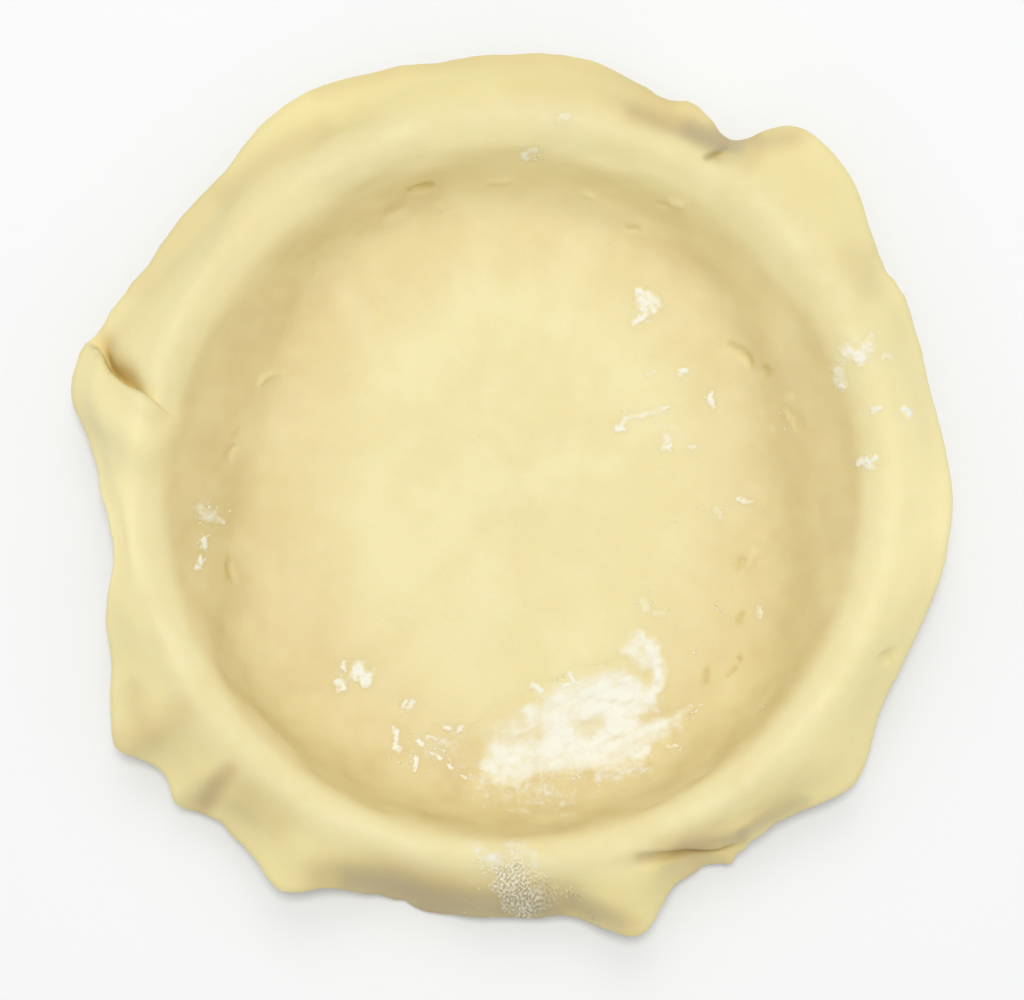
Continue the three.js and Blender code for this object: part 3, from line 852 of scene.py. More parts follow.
# thin dust that only whitens the dough
veilStrokes = [
    stroke(34, 0.14, (385, 742), (440, 735), (490, 785), (565, 798)),
    stroke(15, 0.46, (478, 846), (490, 858)),
    stroke(16, 0.38, (512, 846), (532, 858)),
    stroke(30, 0.3, (505, 872), (530, 902)),
    stroke(34, 0.3, (494, 768), (530, 750), (566, 722), (620, 704)),
    stroke(26, 0.36, (510, 768), (570, 762), (640, 748)),
    stroke(17, 0.25, (644, 640), (660, 664), (652, 694)),
    stroke(20, 0.34, (640, 734), (672, 728)),
    stroke(15, 0.34, (640, 704), (658, 713)),
    stroke(14, 0.2, (530, 795), (560, 797)),
    stroke(14, 0.32, (600, 776), (644, 768)),
    stroke(18, 0.35, (850, 348), (862, 352)),
    stroke(13, 0.32, (838, 366), (840, 388)),
    stroke(15, 0.35, (205, 508), (212, 520)),
    stroke(14, 0.35, (642, 300), (646, 312)),
    stroke(16, 0.28, (650, 410), (672, 440)),
    stroke(14, 0.3, (361, 672), (342, 684)),
    stroke(20, 0.22, (430, 750), (455, 740)),
    stroke(28, 0.14, (480, 800), (560, 812), (650, 792)),
]
veilRim = 1.2


# Thin dust on the dough: the load of its strokes, from their middles out
def flourVeil(px, py):
    return strokeLoad(px, py, veilStrokes, 0.0, veilRim)


# how a pixel's place on the sheet is found: places tried, rounds, and the share of each move that is taken
pixelSearch = dict(steps=121, rounds=6, moves=0.5)


# Angle and place on the sheet's upper face under picture pixels: the height where a ray meets it is refined
def pixelToSheet(px, py):
    places = np.linspace(0, profile["spans"], pixelSearch["steps"])
    weights = np.array(splineWeights(places)).T
    height = np.full(px.shape, sheet["rimTop"])
    for _ in range(pixelSearch["rounds"]):
        x, y = pixelAtHeight(px, py, height)
        deg = np.degrees(np.arctan2(y, x)) % 360.0
        controls = np.array([c[0] for c in sheetControls(deg)])
        radii = np.maximum.accumulate(weights @ controls, axis=0)
        wanted = np.hypot(x, y)
        upper = np.clip((radii < wanted).sum(0), 1, len(places) - 1)
        each = np.arange(len(wanted))
        low, high = radii[upper - 1, each], radii[upper, each]
        share = np.clip((wanted - low) / np.maximum(high - low, 1e-6), 0, 1)
        place = places[upper - 1] + share * (places[upper] - places[upper - 1])
        height = (1 - pixelSearch["moves"]) * height + pixelSearch["moves"] * sheetPoint(deg, place)[..., 2]
    return deg, place


# bed of the flour: mm that it reaches into the dough, how much of that its top dives, the least height kept
flourBed = dict(sunk=0.45, dives=0.8, keepAbove=-0.02)


# Quads of a closed patch over a grid: its kept cells above, the same cells below, and a wall round them
def patchQuads(keep):
    rows, cols = keep.shape[0] + 1, keep.shape[1] + 1
    under = rows * cols
    at = np.arange(under).reshape(rows, cols)
    a, b, c, d = at[:-1, :-1], at[:-1, 1:], at[1:, 1:], at[1:, :-1]
    quads = [np.stack([a, d, c, b], -1)[keep], np.stack([a, b, c, d], -1)[keep] + under]
    framed = np.pad(keep, 1)
    before, same, after = slice(None, -2), slice(1, -1), slice(2, None)
    sides = [((before, same), a, b), ((same, after), b, c), ((after, same), c, d), ((same, before), d, a)]
    for beside, first, second in sides:
        edge = keep & ~framed[beside]
        p, q = first[edge], second[edge]
        quads.append(np.stack([p, q, q + under, p + under], -1))
    return np.concatenate(quads)


# Closed patch of flour over a pixel grid: its top stands off the sheet by height, and dives in where that is
# negative; points that no face uses are dropped, and the rest keep the dough's marks and the added ones
def flourPatch(px, py, height, added):
    deg, place = pixelToSheet(px.ravel(), py.ravel())
    base, normal = sheetSurface(deg, place)
    lift = np.clip(height.ravel(), -flourBed["sunk"] * flourBed["dives"], None)[:, None]
    points = np.concatenate([base + normal * lift, base - normal * flourBed["sunk"]])
    tall = height > flourBed["keepAbove"]
    quads = patchQuads(tall[:-1, :-1] | tall[:-1, 1:] | tall[1:, 1:] | tall[1:, :-1])
    used, renumbered = np.unique(quads.ravel(), return_inverse=True)
    marks = doughMarks(deg, place, base)
    marks["flour"] = flourVeil(px.ravel(), py.ravel())
    for name, values in added.items():
        marks[name] = np.maximum(marks.get(name, 0), values.ravel())
    marks = {name: np.tile(values, 2)[used] for name, values in marks.items()}
    return points[used], renumbered.reshape(quads.shape), marks


# Joins closed patches into one piece and keeps their marks on its points
def joinPatches(name, patches):
    starts = np.cumsum([0] + [len(points) for points, _, _ in patches])
    points = np.concatenate([points for points, _, _ in patches])
    quads = np.concatenate([quads + start for (_, quads, _), start in zip(patches, starts)])
    made = meshFromArrays(name, points, quads)
    for mark in patches[0][2]:
        pointValue(made, mark, np.concatenate([marks[mark] for _, _, marks in patches]))
    print(name + ":", len(patches), "patches,", len(quads), "faces")
    return made


# Window of the picture round a path: its least and largest pixels, less and plus an edge
def pathWindow(path, edge):
    xs, ys = zip(*path)
    return min(xs) - edge, min(ys) - edge, max(xs) + edge, max(ys) + edge


# Pixels of a grid over a window of the picture, a step apart
def pixelGrid(window, step):
    x0, y0, x1, y1 = window
    return np.meshgrid(np.arange(x0, x1, step), np.arange(y0, y1, step))


finePush = dict(share=0.7, size=0.4)     # the finer noise, as shares of the coarser one


# Pixels pushed about by two sizes of noise, so that outlines drawn with them come out uneven
def pushedPixels(px, py, size, reach, seed):
    flat = flatPoints(px, py)
    share, fine = finePush["share"], size * finePush["size"]
    across = softNoise(flat, size, seed) + share * softNoise(flat, fine, seed + 1)
    along = softNoise(flat, size, seed + 2) + share * softNoise(flat, fine, seed + 3)
    return px + reach * across, py + reach * along


# Height of loose flour and how thick it looks: load times lumps, crumbs and streaks of noise, less a small
# threshold, with ridges drawn out along the streaks
def flourHeight(px, py, load, look, seed):
    flat = flatPoints(px, py) * camera["mmPerPixel"]
    rough = look["lumps"] * softNoise(flat, look["lumpSize"], seed)
    rough = rough + look["crumbs"] * softNoise(flat, look["crumbSize"], seed + 1)
    turn = math.radians(look["streakTurn"])
    along = px * math.cos(turn) - py * math.sin(turn)
    across = px * math.sin(turn) + py * math.cos(turn)
    drawn = flatPoints(along / look["streakPull"], across) * camera["mmPerPixel"]
    rough = rough + look["streaks"] * softNoise(drawn, look["streakSize"], seed + 2)
    full = load * (1 + rough)
    ridged = look["ridges"] * load * softNoise(drawn * look["ridgePull"], look["ridgeSize"], seed + 4)
    return look["thick"] * (full - look["least"]) + ridged, np.clip(full, 0, 1)


smear = dict(window=(456, 612, 712, 806), step=0.85, core=0.0, rim=1.5, push=2.2, pushSize=12.0, pushSeed=31,
             thick=0.9, least=0.06, lumps=0.2, lumpSize=4.2, crumbs=0.12, crumbSize=1.0,
             streaks=0.16, streakSize=1.6, streakTurn=24, streakPull=4,
             ridges=0.7, ridgeSize=2.2, ridgePull=(2.4, 1.0, 1.0), seed=41)


# Main smear of flour on the floor of the case: one patch, as high as the load of its strokes at pushed pixels
def makeSmear():
    px, py = pixelGrid(smear["window"], smear["step"])
    pushed = pushedPixels(px, py, smear["pushSize"], smear["push"], smear["pushSeed"])
    load = strokeLoad(*pushed, smearStrokes, smear["core"], smear["rim"])
    height, full = flourHeight(px, py, load, smear, smear["seed"])
    return joinPatches("flour_smear", [flourPatch(px, py, height, dict(load=full))])


# pushes count in half widths of the stroke; each dab takes its own seeds
dab = dict(margin=3, spare=1.6, step=0.62, core=0.1, rim=1.4, push=0.55, pushSize=1.2, pushSeed=200,
           pushSeedStep=5, thick=0.45, least=0.06, lumps=0.3, lumpSize=1.6, crumbs=0.2, crumbSize=0.8,
           streaks=0.0, streakSize=1.0, streakTurn=0, streakPull=4,
           ridges=0.12, ridgeSize=1.1, ridgePull=(4.0, 1.0, 1.0), seed=60, seedStep=3)


# Dabs of flour dotted over floor, wall and rim, one small patch for each stroke
def makeDabs():
    patches = []
    for k, s in enumerate(dabStrokes):
        half = s["half"]
        px, py = pixelGrid(pathWindow(s["path"], half * dab["spare"] + dab["margin"]), dab["step"])
        pushSeed = dab["pushSeed"] + dab["pushSeedStep"] * k
        pushed = pushedPixels(px, py, dab["pushSize"] * half, dab["push"] * half, pushSeed)
        load = strokeLoad(*pushed, [s], dab["core"], dab["rim"])
        height, full = flourHeight(px, py, load, dab, dab["seed"] + dab["seedStep"] * k)
        patches.append(flourPatch(px, py, height, dict(load=full)))
    return joinPatches("flour_dabs", patches)


crust = dict(window=(466, 836, 604, 930), step=0.5, core=0.1, rim=1.3, push=5.0, pushSize=12.0, pushSeed=55,
             wave=3.3, waves=26, paces=(0.65, 1.6), waveSeed=51, bend=1.3, bendSize=4.5, bendSeed=52,
             patchy=0.5, patchSize=9.0, patchSeed=53, bitsFrom=-0.9, bitsTo=1.1, film=0.3, bits=0.75,
             thick=0.55, least=0.12, shown=0.7, gapShade=0.52, gapLoad=(0.3, 0.9), gapDepth=(-1.0, 0.1))
crustStrokes = [
    stroke(22, 0.95, (514, 873), (520, 888), (527, 904)),
    stroke(12, 0.85, (499, 879), (506, 899)),
    stroke(11, 0.6, (543, 880), (549, 900)),
    stroke(9, 0.6, (566, 893), (578, 897)),
    stroke(7, 0.5, (480, 860), (486, 872)),
    stroke(6, 0.6, (590, 914), (600, 920)),
]


# Maze over a pixel grid: waves of about one length, each in its own direction, bent and patchy with noise
def crustMaze(px, py):
    dice = np.random.default_rng(crust["waveSeed"])
    bentX, bentY = pushedPixels(px, py, crust["bendSize"], crust["bend"], crust["bendSeed"])
    maze = np.zeros(px.shape)
    for turn in dice.uniform(0, np.pi, crust["waves"]):
        pace = 2 * np.pi / (crust["wave"] * dice.uniform(*crust["paces"]))
        maze += np.cos(pace * (bentX * np.cos(turn) + bentY * np.sin(turn)) + dice.uniform(0, 2 * np.pi))
    maze *= np.sqrt(2 / crust["waves"])
    return maze + crust["patchy"] * softNoise(flatPoints(px, py), crust["patchSize"], crust["patchSeed"])


# Flour that dried on the front of the hem and crazed into worm-like bits, which stand where the maze is high
def makeCrust():
    px, py = pixelGrid(crust["window"], crust["step"])
    pushed = pushedPixels(px, py, crust["pushSize"], crust["push"], crust["pushSeed"])
    load = strokeLoad(*pushed, crustStrokes, crust["core"], crust["rim"])
    maze = crustMaze(px, py)
    full = load * (crust["film"] + crust["bits"] * smooth(crust["bitsFrom"], crust["bitsTo"], maze))
    height = crust["thick"] * (full - crust["least"])
    # painted shade in the gaps between the bits, where the maze is low
    gapShade = crust["gapShade"] * smooth(*crust["gapLoad"], load) * (1 - smooth(*crust["gapDepth"], maze))
    shown = np.clip(crust["shown"] * full, 0, 1)
    return joinPatches("flour_crust", [flourPatch(px, py, height, dict(load=shown, gapShade=gapShade))])


# loose grains: picture pixel, spread in pixels, how many, sizes in mm
grainSpots = [
    dict(at=(643, 306), spread=(13, 15), count=16, size=(0.16, 0.45)),
    dict(at=(562, 686), spread=(16, 8), count=34, size=(0.2, 0.6)),
    dict(at=(604, 672), spread=(30, 8), count=16, size=(0.15, 0.4)),
    dict(at=(575, 778), spread=(45, 6), count=34, size=(0.18, 0.5)),
    dict(at=(520, 752), spread=(14, 12), count=18, size=(0.18, 0.45)),
    dict(at=(690, 712), spread=(10, 7), count=16, size=(0.2, 0.6)),
    dict(at=(672, 745), spread=(14, 9), count=12, size=(0.16, 0.45)),
    dict(at=(344, 678), spread=(10, 14), count=20, size=(0.2, 0.55)),
    dict(at=(362, 677), spread=(13, 15), count=14, size=(0.16, 0.45)),
    dict(at=(440, 750), spread=(28, 17), count=36, size=(0.2, 0.6)),
    dict(at=(405, 745), spread=(22, 26), count=24, size=(0.2, 0.55)),
    dict(at=(455, 729), spread=(14, 5), count=14, size=(0.2, 0.55)),
    dict(at=(410, 704), spread=(13, 6), count=14, size=(0.2, 0.5)),
    dict(at=(206, 514), spread=(15, 13), count=34, size=(0.2, 0.55)),
    dict(at=(203, 552), spread=(7, 18), count=12, size=(0.2, 0.5)),
    dict(at=(660, 620), spread=(28, 14), count=12, size=(0.16, 0.4)),
    dict(at=(645, 602), spread=(10, 10), count=9, size=(0.16, 0.45)),
    dict(at=(712, 640), spread=(24, 18), count=12, size=(0.16, 0.45)),
    dict(at=(728, 606), spread=(10, 10), count=9, size=(0.2, 0.6)),
    dict(at=(760, 706), spread=(5, 3), count=5, size=(0.25, 0.6)),
    dict(at=(668, 442), spread=(14, 12), count=14, size=(0.15, 0.4)),
    dict(at=(645, 413), spread=(24, 6), count=14, size=(0.15, 0.4)),
    dict(at=(735, 505), spread=(20, 10), count=12, size=(0.15, 0.45)),
    dict(at=(530, 155), spread=(11, 7), count=14, size=(0.2, 0.55)),
    dict(at=(782, 425), spread=(12, 18), count=5, size=(0.25, 0.5)),
    dict(at=(520, 888), spread=(44, 26), count=70, size=(0.16, 0.4)),
    dict(at=(484, 866), spread=(8, 14), count=12, size=(0.2, 0.5)),
    dict(at=(560, 640), spread=(150, 110), count=40, size=(0.12, 0.25)),
    dict(at=(530, 400), spread=(190, 150), count=34, size=(0.12, 0.22)),
]
grainShape = dict(around=8, rings=3, flat=0.25, uneven=0.35, sunk=0.05, shortest=0.8, longest=2.0,
                  tipped=0.3, scatter=0.6, thinLook=0.28, thickLook=0.6, seed=77)


# Unit ball of a few faces: rings of latitude between two poles
def grainBall():
    around, rings = grainShape["around"], grainShape["rings"]
    tilt = np.pi * np.arange(1, rings + 1)[:, None] / (rings + 1)
    turn = 2 * np.pi * np.arange(around)[None, :] / around
    ball = roundPoints(np.sin(tilt), turn, np.cos(tilt))
    points = np.concatenate([ball.reshape(-1, 3), [[0, 0, 1], [0, 0, -1]]])
    at = np.arange(rings * around).reshape(rings, around)
    caps = np.concatenate([fan(at[0], rings * around, True), fan(at[-1], rings * around + 1, False)])
    return points, ringQuads(rings, around), caps


# Pixels and sizes of the grains: a normal scatter round each spot, most of them small
def scatterGrains(rng):
    px, py, size = [], [], []
    for g in grainSpots:
        smallest, largest = g["size"]
        px.append(g["at"][0] + g["spread"][0] * rng.normal(0, grainShape["scatter"], g["count"]))
        py.append(g["at"][1] + g["spread"][1] * rng.normal(0, grainShape["scatter"], g["count"]))
        size.append(smallest + (largest - smallest) * rng.random(g["count"]) ** 2)
    return np.concatenate(px), np.concatenate(py), np.concatenate(size)


# Loose grains of flour: squashed uneven balls, each turned its own way and seated on the sheet
def makeGrains():
    rng = np.random.default_rng(grainShape["seed"])
    px, py, size = scatterGrains(rng)
    base, normal = sheetSurface(*pixelToSheet(px, py))
    ball, quads, caps = grainBall()
    count = len(px)
    turn = rng.uniform(0, 2 * np.pi, count)
    leaning = grainShape["tipped"] * np.sin(3 * turn)
    side = np.cross(normal, np.stack([np.cos(turn), np.sin(turn), leaning], -1))
    side /= np.linalg.norm(side, axis=-1, keepdims=True)
    other = np.cross(normal, side)
    stretch = rng.uniform(grainShape["shortest"], grainShape["longest"], count)
    uneven = 1 + grainShape["uneven"] * rng.uniform(-1, 1, (count, len(ball)))
    shaped = ball[None] * uneven[..., None] * size[:, None, None]
    lift = shaped[..., 2:] * grainShape["flat"] + (grainShape["sunk"] * size)[:, None, None]
    points = (base[:, None] + shaped[..., :1] * side[:, None] * stretch[:, None, None]
              + shaped[..., 1:2] * other[:, None] + lift * normal[:, None])
    start = (np.arange(count) * len(ball))[:, None, None]
    made = meshFromArrays("flour_grains", points.reshape(-1, 3), (quads[None] + start).reshape(-1, 4),
                          (caps[None] + start).reshape(-1, 3))
    shown = rng.uniform(grainShape["thinLook"], grainShape["thickLook"], count)
    pointValue(made, "load", np.repeat(shown, len(ball)))
    print("flour grains:", count)
    return made


# The tin

tin = dict(mouth=116.6, base=113.2, height=29.6, sheet=1.0, corner=3.0, bead=1.9, around=256,
           cornerSteps=8, beadSteps=20, wallSteps=10, baseSteps=24)


# Points of an arc in the tin's section: its centre plus the radius times cosine and sine
def arc(centre, radius, fromDeg, toDeg, steps):
    turn = np.radians(np.linspace(fromDeg, toDeg, steps + 1))
    return np.stack([centre[0] + radius * np.cos(turn), centre[1] + radius * np.sin(turn)], -1)


# Section of the tin carried round the axis: up the outside, round the rolled bead and down the inside
def makeTin():
    outer = tin["corner"] + tin["sheet"]
    cornerAt = (tin["base"] - tin["corner"], outer)
    beadAt = (tin["mouth"] + tin["bead"], tin["height"] - tin["bead"])
    joins = -math.degrees(math.acos((tin["sheet"] - tin["bead"]) / tin["bead"]))
    lowerBend = arc(cornerAt, outer, -90, 0, tin["cornerSteps"])
    bead = arc(beadAt, tin["bead"], joins, 180, tin["beadSteps"])
    upperBend = arc(cornerAt, tin["corner"], 0, -90, tin["cornerSteps"])
    share = np.linspace(0, 1, tin["wallSteps"] + 1)[1:-1, None]
    outside = lowerBend[-1] + (bead[0] - lowerBend[-1]) * share
    inside = bead[-1] + (upperBend[0] - bead[-1]) * share
    spread = np.linspace(0, 1, tin["baseSteps"] + 1)[1:, None]
    under = lowerBend[0] * spread
    floor = upperBend[-1] + (np.array([0.0, tin["sheet"]]) - upperBend[-1]) * spread
    section = np.concatenate([under[:-1], lowerBend, outside, bead, inside, upperBend, floor[:-1]])
    turn = 2 * np.pi * np.arange(tin["around"])[None, :] / tin["around"]
    rings = roundPoints(section[:, :1], turn, section[:, 1:])
    at = np.arange(rings.shape[0] * rings.shape[1]).reshape(rings.shape[:2])
    points = np.concatenate([rings.reshape(-1, 3), [[0, 0, 0], [0, 0, tin["sheet"]]]])
    caps = np.concatenate([fan(at[0], len(points) - 2, False), fan(at[-1], len(points) - 1, True)])
    quads = ringQuads(rings.shape[0], rings.shape[1])[:, ::-1]
    made = meshFromArrays("tin_shell", points, quads, caps)
    print("tin:", len(section), "points in its section")
    return made


# Materials

# Starts a material and returns it with its nodes, links and main shader
def startMaterial(name):
    made = bpy.data.materials.new(name)
    made.use_nodes = True
    nodes, links = made.node_tree.nodes, made.node_tree.links
    return made, nodes, links, nodes["Principled BSDF"]


# Node with its plain values set by socket name
def addNode(nodes, kind, values=None, **settings):
    made = nodes.new(kind)
    for key, value in settings.items():
        setattr(made, key, value)
    for key, value in (values or {}).items():
        made.inputs[key].default_value = value
    return made


# Colour mix node; returns its factor, first, second and result sockets
def addMix(nodes, first=None, second=None):
    made = nodes.new("ShaderNodeMix")
    made.data_type = "RGBA"         # its colours are then inputs 6 and 7
    if first:
        made.inputs[6].default_value = (*first, 1)
    if second:
        made.inputs[7].default_value = (*second, 1)
    return made.inputs[0], made.inputs[6], made.inputs[7], made.outputs[2]


powderGrain = dict(detail=3.0, coarseRough=0.55, fineRough=0.6, fineShare=0.35)


# Node group: two sizes of noise on Object coordinates, as a mask between Low and High, and as a height
def makeGrainGroup():
    group = bpy.data.node_groups.new("powderGrain", "ShaderNodeTree")
    for name, value in (("Coarse Scale", 60.0), ("Fine Scale", 400.0), ("Low", 0.4), ("High", 0.6)):
        socket = group.interface.new_socket(name, in_out="INPUT", socket_type="NodeSocketFloat")
        socket.default_value = value
    for name in ("Mask", "Height"):
        group.interface.new_socket(name, in_out="OUTPUT", socket_type="NodeSocketFloat")
    nodes, links = group.nodes, group.links
    given, result = nodes.new("NodeGroupInput"), nodes.new("NodeGroupOutput")
    place = nodes.new("ShaderNodeTexCoord")
    detail, fineShare = powderGrain["detail"], powderGrain["fineShare"]
    coarse = addNode(nodes, "ShaderNodeTexNoise", {"Detail": detail, "Roughness": powderGrain["coarseRough"]})
    fine = addNode(nodes, "ShaderNodeTexNoise", {"Detail": detail, "Roughness": powderGrain["fineRough"]})
    both = addNode(nodes, "ShaderNodeMath", {1: fineShare}, operation="MULTIPLY_ADD")
    shift = addNode(nodes, "ShaderNodeMath", {1: fineShare / 2}, operation="SUBTRACT")
    span = addNode(nodes, "ShaderNodeMapRange", interpolation_type="SMOOTHSTEP")
    for noise, scale in ((coarse, "Coarse Scale"), (fine, "Fine Scale")):
        links.new(place.outputs["Object"], noise.inputs["Vector"])
        links.new(given.outputs[scale], noise.inputs["Scale"])
    links.new(fine.outputs[0], both.inputs[0])
    links.new(coarse.outputs[0], shift.inputs[0])
    links.new(shift.outputs[0], both.inputs[2])
    links.new(both.outputs[0], span.inputs["Value"])
    links.new(given.outputs["Low"], span.inputs["From Min"])
    links.new(given.outputs["High"], span.inputs["From Max"])
    links.new(span.outputs[0], result.inputs["Mask"])
    links.new(both.outputs[0], result.inputs["Height"])
    return group


# Places the grain group in a material with its own values
def addGrain(nodes, group, coarse, fine, low, high):
    made = nodes.new("ShaderNodeGroup")
    made.node_tree = group
    for name, value in (("Coarse Scale", coarse), ("Fine Scale", fine), ("Low", low), ("High", high)):
        made.inputs[name].default_value = value
    return made


# colours, then grain values as coarse scale, fine scale, low and high; the wall ring, grey and crease colours
# are painted shade, and the paler thick colour is partly painted light
dough = dict(pale=(0.865, 0.768, 0.425), deep=(0.845, 0.738, 0.39), fat=(0.87, 0.79, 0.50),
             paleLit=(0.95, 0.845, 0.465), warm=(0.875, 0.755, 0.345), thinnedShade=(0.685, 0.525, 0.24),
             greyShade=(0.40, 0.345, 0.235), creaseShade=(0.56, 0.38, 0.035), dust=(0.89, 0.87, 0.76),
             blotch=(34.0, 150.0, 0.36, 0.66), fleck=(240.0, 700.0, 0.62, 0.72), fleckShare=0.4,
             veil=(330.0, 1100.0, 0.0, 1.0), veilBreaks=1.1, dustFrom=0.72, dustTo=1.38,
             skin=(130.0, 620.0, 0.0, 1.0), bump=0.16, bumpDeep=0.0012, roughness=(0.5, 0.68), dustDries=0.3,
             glow=0.18, glowReach=0.004, glowColour=(1.0, 0.62, 0.25), specular=0.3)


# Node group: colour of the dough, mottled with richer patches and fat flecks, shifted by painted shade and
# light where it is marked, and whitened where the veil of flour lies and breaks up into grains
def makeDoughTone(grain):
    group = bpy.data.node_groups.new("doughTone", "ShaderNodeTree")
    group.interface.new_socket("Colour", in_out="OUTPUT", socket_type="NodeSocketColor")
    for name in ("Blotch", "Dust"):
        group.interface.new_socket(name, in_out="OUTPUT", socket_type="NodeSocketFloat")
    nodes, links = group.nodes, group.links
    result = nodes.new("NodeGroupOutput")
    blotch = addGrain(nodes, grain, *dough["blotch"])
    share, _, _, tone = addMix(nodes, dough["pale"], dough["deep"])
    links.new(blotch.outputs["Mask"], share)
    fleck = addGrain(nodes, grain, *dough["fleck"])
    weak = addNode(nodes, "ShaderNodeMath", {1: dough["fleckShare"]}, operation="MULTIPLY")
    links.new(fleck.outputs["Mask"], weak.inputs[0])
    veil = addNode(nodes, "ShaderNodeAttribute", attribute_name="flour")
    powderVeil = addGrain(nodes, grain, *dough["veil"])
    broken = addNode(nodes, "ShaderNodeMath", {1: dough["veilBreaks"]}, operation="MULTIPLY_ADD")
    links.new(powderVeil.outputs["Height"], broken.inputs[0])
    links.new(veil.outputs["Fac"], broken.inputs[2])
    dustSpan = {"From Min": dough["dustFrom"], "From Max": dough["dustTo"]}
    dusted = addNode(nodes, "ShaderNodeMapRange", dustSpan, interpolation_type="SMOOTHSTEP")
    links.new(broken.outputs[0], dusted.inputs["Value"])
    shares = [(weak.outputs[0], dough["fat"])]
    # the marks mix in thicker dough with painted light, a warmer tint, and three kinds of painted shade
    for mark in ("paleLit", "warm", "thinnedShade", "greyShade", "creaseShade"):
        marked = addNode(nodes, "ShaderNodeAttribute", attribute_name=mark)
        shares.append((marked.outputs["Fac"], dough[mark]))
    shares.append((dusted.outputs[0], dough["dust"]))
    for mark, colour in shares:
        share, first, _, mixed = addMix(nodes, None, colour)
        links.new(mark, share)
        links.new(tone, first)
        tone = mixed
    links.new(tone, result.inputs["Colour"])
    links.new(dusted.outputs[0], result.inputs["Dust"])
    links.new(blotch.outputs["Mask"], result.inputs["Blotch"])
    return group


# Gives a shader a fine relief from a socket with heights
def addBump(nodes, links, shader, height, strength, distance):
    bump = addNode(nodes, "ShaderNodeBump", {"Strength": strength, "Distance": distance})
    links.new(height, bump.inputs["Height"])
    links.new(bump.outputs[0], shader.inputs["Normal"])


# Raw pastry: the shared dough colour, drier where it is dusted, with a fine skin
def makeDough(grain, doughTone):
    made, nodes, links, shader = startMaterial("raw_dough")
    bare = addNode(nodes, "ShaderNodeGroup", node_tree=doughTone)
    links.new(bare.outputs["Colour"], shader.inputs["Base Color"])
    smoothest, roughest = dough["roughness"]
    rough = addNode(nodes, "ShaderNodeMapRange", {"To Min": smoothest, "To Max": roughest})
    links.new(bare.outputs["Blotch"], rough.inputs["Value"])
    drier = addNode(nodes, "ShaderNodeMath", {1: dough["dustDries"]}, operation="MULTIPLY_ADD",
                    use_clamp=True)
    links.new(bare.outputs["Dust"], drier.inputs[0])
    links.new(rough.outputs[0], drier.inputs[2])
    links.new(drier.outputs[0], shader.inputs["Roughness"])
    skin = addGrain(nodes, grain, *dough["skin"])
    addBump(nodes, links, shader, skin.outputs["Height"], dough["bump"], dough["bumpDeep"])
    shader.inputs["Subsurface Weight"].default_value = dough["glow"]
    shader.inputs["Subsurface Radius"].default_value = dough["glowColour"]
    shader.inputs["Subsurface Scale"].default_value = dough["glowReach"]
    shader.inputs["Specular IOR Level"].default_value = dough["specular"]
    return made


powder = dict(thin=(0.89, 0.84, 0.64), thick=(0.918, 0.91, 0.795), gapShade=(0.40, 0.365, 0.275),
              soft=(300.0, 1000.0, 0.0, 1.0), breaks=0.34, coverFrom=0.19, coverTo=1.11,
              bump=0.3, bumpDeep=0.0005, roughness=0.95, specular=0.1)


# Flour: bare dough where it is thin, then cream, and white where it lies thick, with a fine powdery grain and
# painted shade in the gaps between its bits
def makeFlour(grain, doughTone):
    made, nodes, links, shader = startMaterial("flour_powder")
    bare = addNode(nodes, "ShaderNodeGroup", node_tree=doughTone)
    load = addNode(nodes, "ShaderNodeAttribute", attribute_name="load")
    soft = addGrain(nodes, grain, *powder["soft"])
    broken = addNode(nodes, "ShaderNodeMath", {1: powder["breaks"]}, operation="MULTIPLY_ADD")
    links.new(soft.outputs["Height"], broken.inputs[0])
    links.new(load.outputs["Fac"], broken.inputs[2])
    coverSpan = {"From Min": powder["coverFrom"], "From Max": powder["coverTo"]}
    cover = addNode(nodes, "ShaderNodeMapRange", coverSpan, interpolation_type="SMOOTHSTEP")
    links.new(broken.outputs[0], cover.inputs["Value"])
    share, _, _, white = addMix(nodes, powder["thin"], powder["thick"])
    links.new(cover.outputs[0], share)
    share, first, second, covered = addMix(nodes)
    links.new(cover.outputs[0], share)
    links.new(bare.outputs["Colour"], first)
    links.new(white, second)
    gapShade = addNode(nodes, "ShaderNodeAttribute", attribute_name="gapShade")
    share, first, _, final = addMix(nodes, None, powder["gapShade"])
    links.new(gapShade.outputs["Fac"], share)
    links.new(covered, first)
    links.new(final, shader.inputs["Base Color"])
    addBump(nodes, links, shader, soft.outputs["Height"], powder["bump"], powder["bumpDeep"])
    shader.inputs["Roughness"].default_value = powder["roughness"]
    shader.inputs["Specular IOR Level"].default_value = powder["specular"]
    return made


metal = dict(bright=(0.80, 0.805, 0.81), dull=(0.62, 0.625, 0.63), worn=(22.0, 240.0, 0.3, 0.7),
             roughness=(0.27, 0.46), lines=2600.0, lineDetail=1.0, bump=0.12, bumpDeep=0.0002)


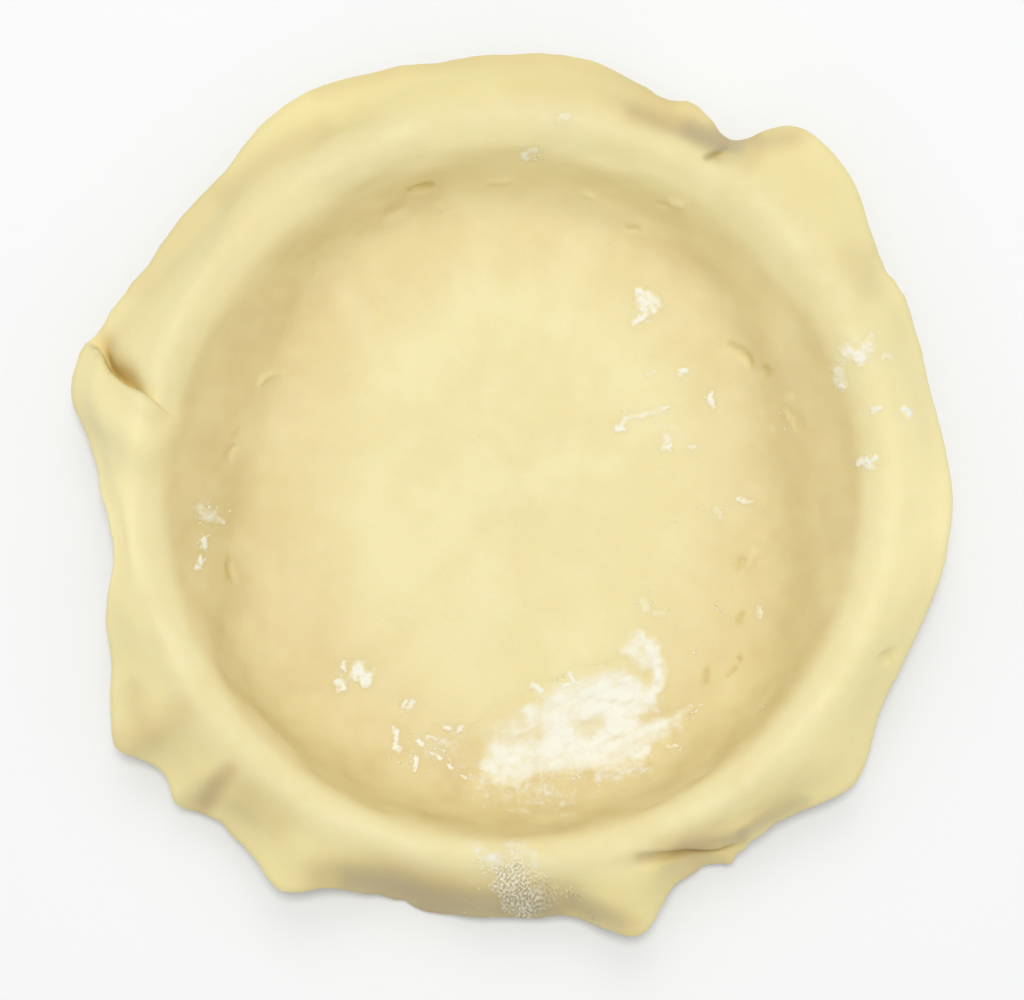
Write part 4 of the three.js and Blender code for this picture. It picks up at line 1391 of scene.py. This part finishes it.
# Tin: satin aluminium, spun lines round its axis, dulled by use
def makeMetal(grain):
    made, nodes, links, shader = startMaterial("tin_satin")
    worn = addGrain(nodes, grain, *metal["worn"])
    share, _, _, mixed = addMix(nodes, metal["bright"], metal["dull"])
    links.new(worn.outputs["Mask"], share)
    links.new(mixed, shader.inputs["Base Color"])
    smoothest, roughest = metal["roughness"]
    rough = addNode(nodes, "ShaderNodeMapRange", {"To Min": smoothest, "To Max": roughest})
    links.new(worn.outputs["Mask"], rough.inputs["Value"])
    links.new(rough.outputs[0], shader.inputs["Roughness"])
    place = nodes.new("ShaderNodeTexCoord")
    split = nodes.new("ShaderNodeSeparateXYZ")
    links.new(place.outputs["Object"], split.inputs[0])
    flat = nodes.new("ShaderNodeCombineXYZ")
    links.new(split.outputs["X"], flat.inputs["X"])
    links.new(split.outputs["Y"], flat.inputs["Y"])
    out = addNode(nodes, "ShaderNodeVectorMath", operation="LENGTH")
    links.new(flat.outputs[0], out.inputs[0])
    spun = nodes.new("ShaderNodeCombineXYZ")
    links.new(out.outputs["Value"], spun.inputs["X"])
    links.new(split.outputs["Z"], spun.inputs["Y"])
    lines = addNode(nodes, "ShaderNodeTexNoise", {"Scale": metal["lines"], "Detail": metal["lineDetail"]})
    links.new(spun.outputs[0], lines.inputs["Vector"])
    addBump(nodes, links, shader, lines.outputs[0], metal["bump"], metal["bumpDeep"])
    shader.inputs["Metallic"].default_value = 1.0
    return made


# Stage, light and camera

stage = dict(half=3.0, colour=(0.955, 0.963, 0.963), roughness=0.9, specular=0.1)
lights = [dict(name="overhead", at=(0.0, 0.14, 1.60), size=0.35, power=11.4),
          dict(name="window", at=(0.0, 2.4, 3.4), size=2.4, power=21.0)]
surround = dict(colour=(1.0, 1.0, 1.0), strength=0.465)


# Plain pale floor
def makeFloor():
    h = stage["half"] / mm
    corners = np.array([[-h, -h, 0], [h, -h, 0], [h, h, 0], [-h, h, 0]])
    made = meshFromArrays("floor", corners, np.array([[0, 1, 2, 3]]))
    look, _, _, shader = startMaterial("floor_paint")
    shader.inputs["Base Color"].default_value = (*stage["colour"], 1)
    shader.inputs["Roughness"].default_value = stage["roughness"]
    shader.inputs["Specular IOR Level"].default_value = stage["specular"]
    made.data.materials.append(look)


# Soft lights aimed at the case, and an even white surround
def makeLights():
    for lamp in lights:
        data = bpy.data.lights.new(lamp["name"], "AREA")
        data.shape, data.size, data.energy = "DISK", lamp["size"], lamp["power"]
        made = bpy.data.objects.new(lamp["name"], data)
        made.location = lamp["at"]
        made.rotation_euler = (Vector((0, 0, 0)) - Vector(lamp["at"])).to_track_quat("-Z", "Y").to_euler()
        bpy.context.scene.collection.objects.link(made)
    world = bpy.data.worlds.new("surround")
    world.use_nodes = True
    back = world.node_tree.nodes["Background"]
    back.inputs["Color"].default_value = (*surround["colour"], 1)
    back.inputs["Strength"].default_value = surround["strength"]
    bpy.context.scene.world = world
    bpy.context.scene.view_settings.view_transform = "Standard"


# Camera above the case, leaning a little from the front
def makeCamera():
    _, _, _, place = cameraFrame()
    data = bpy.data.cameras.new("overhead_camera")
    data.sensor_width = camera["sensor"]
    data.lens = camera["sensor"] * camera["distance"] / (camera["imageWide"] * camera["mmPerPixel"])
    made = bpy.data.objects.new("overhead_camera", data)
    made.location = place * mm
    made.rotation_euler = (math.radians(camera["tilt"]), 0, 0)
    bpy.context.scene.collection.objects.link(made)
    bpy.context.scene.camera = made


# Everything together

makeCamera()
makeLights()
makeFloor()
grainGroup = makeGrainGroup()
doughTone = makeDoughTone(grainGroup)
doughLook = makeDough(grainGroup, doughTone)
flourLook = makeFlour(grainGroup, doughTone)
metalLook = makeMetal(grainGroup)
print("materials ready")

pastrySheet = makePastry()
pastrySheet.data.materials.append(doughLook)
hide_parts("pastry")
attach(pastrySheet, "root")

tinShell = makeTin()
tinShell.data.materials.append(metalLook)
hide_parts("tin")
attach(tinShell, "root")

for flour in (makeSmear(), makeDabs(), makeCrust(), makeGrains()):
    flour.data.materials.append(flourLook)
    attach(flour, "root")
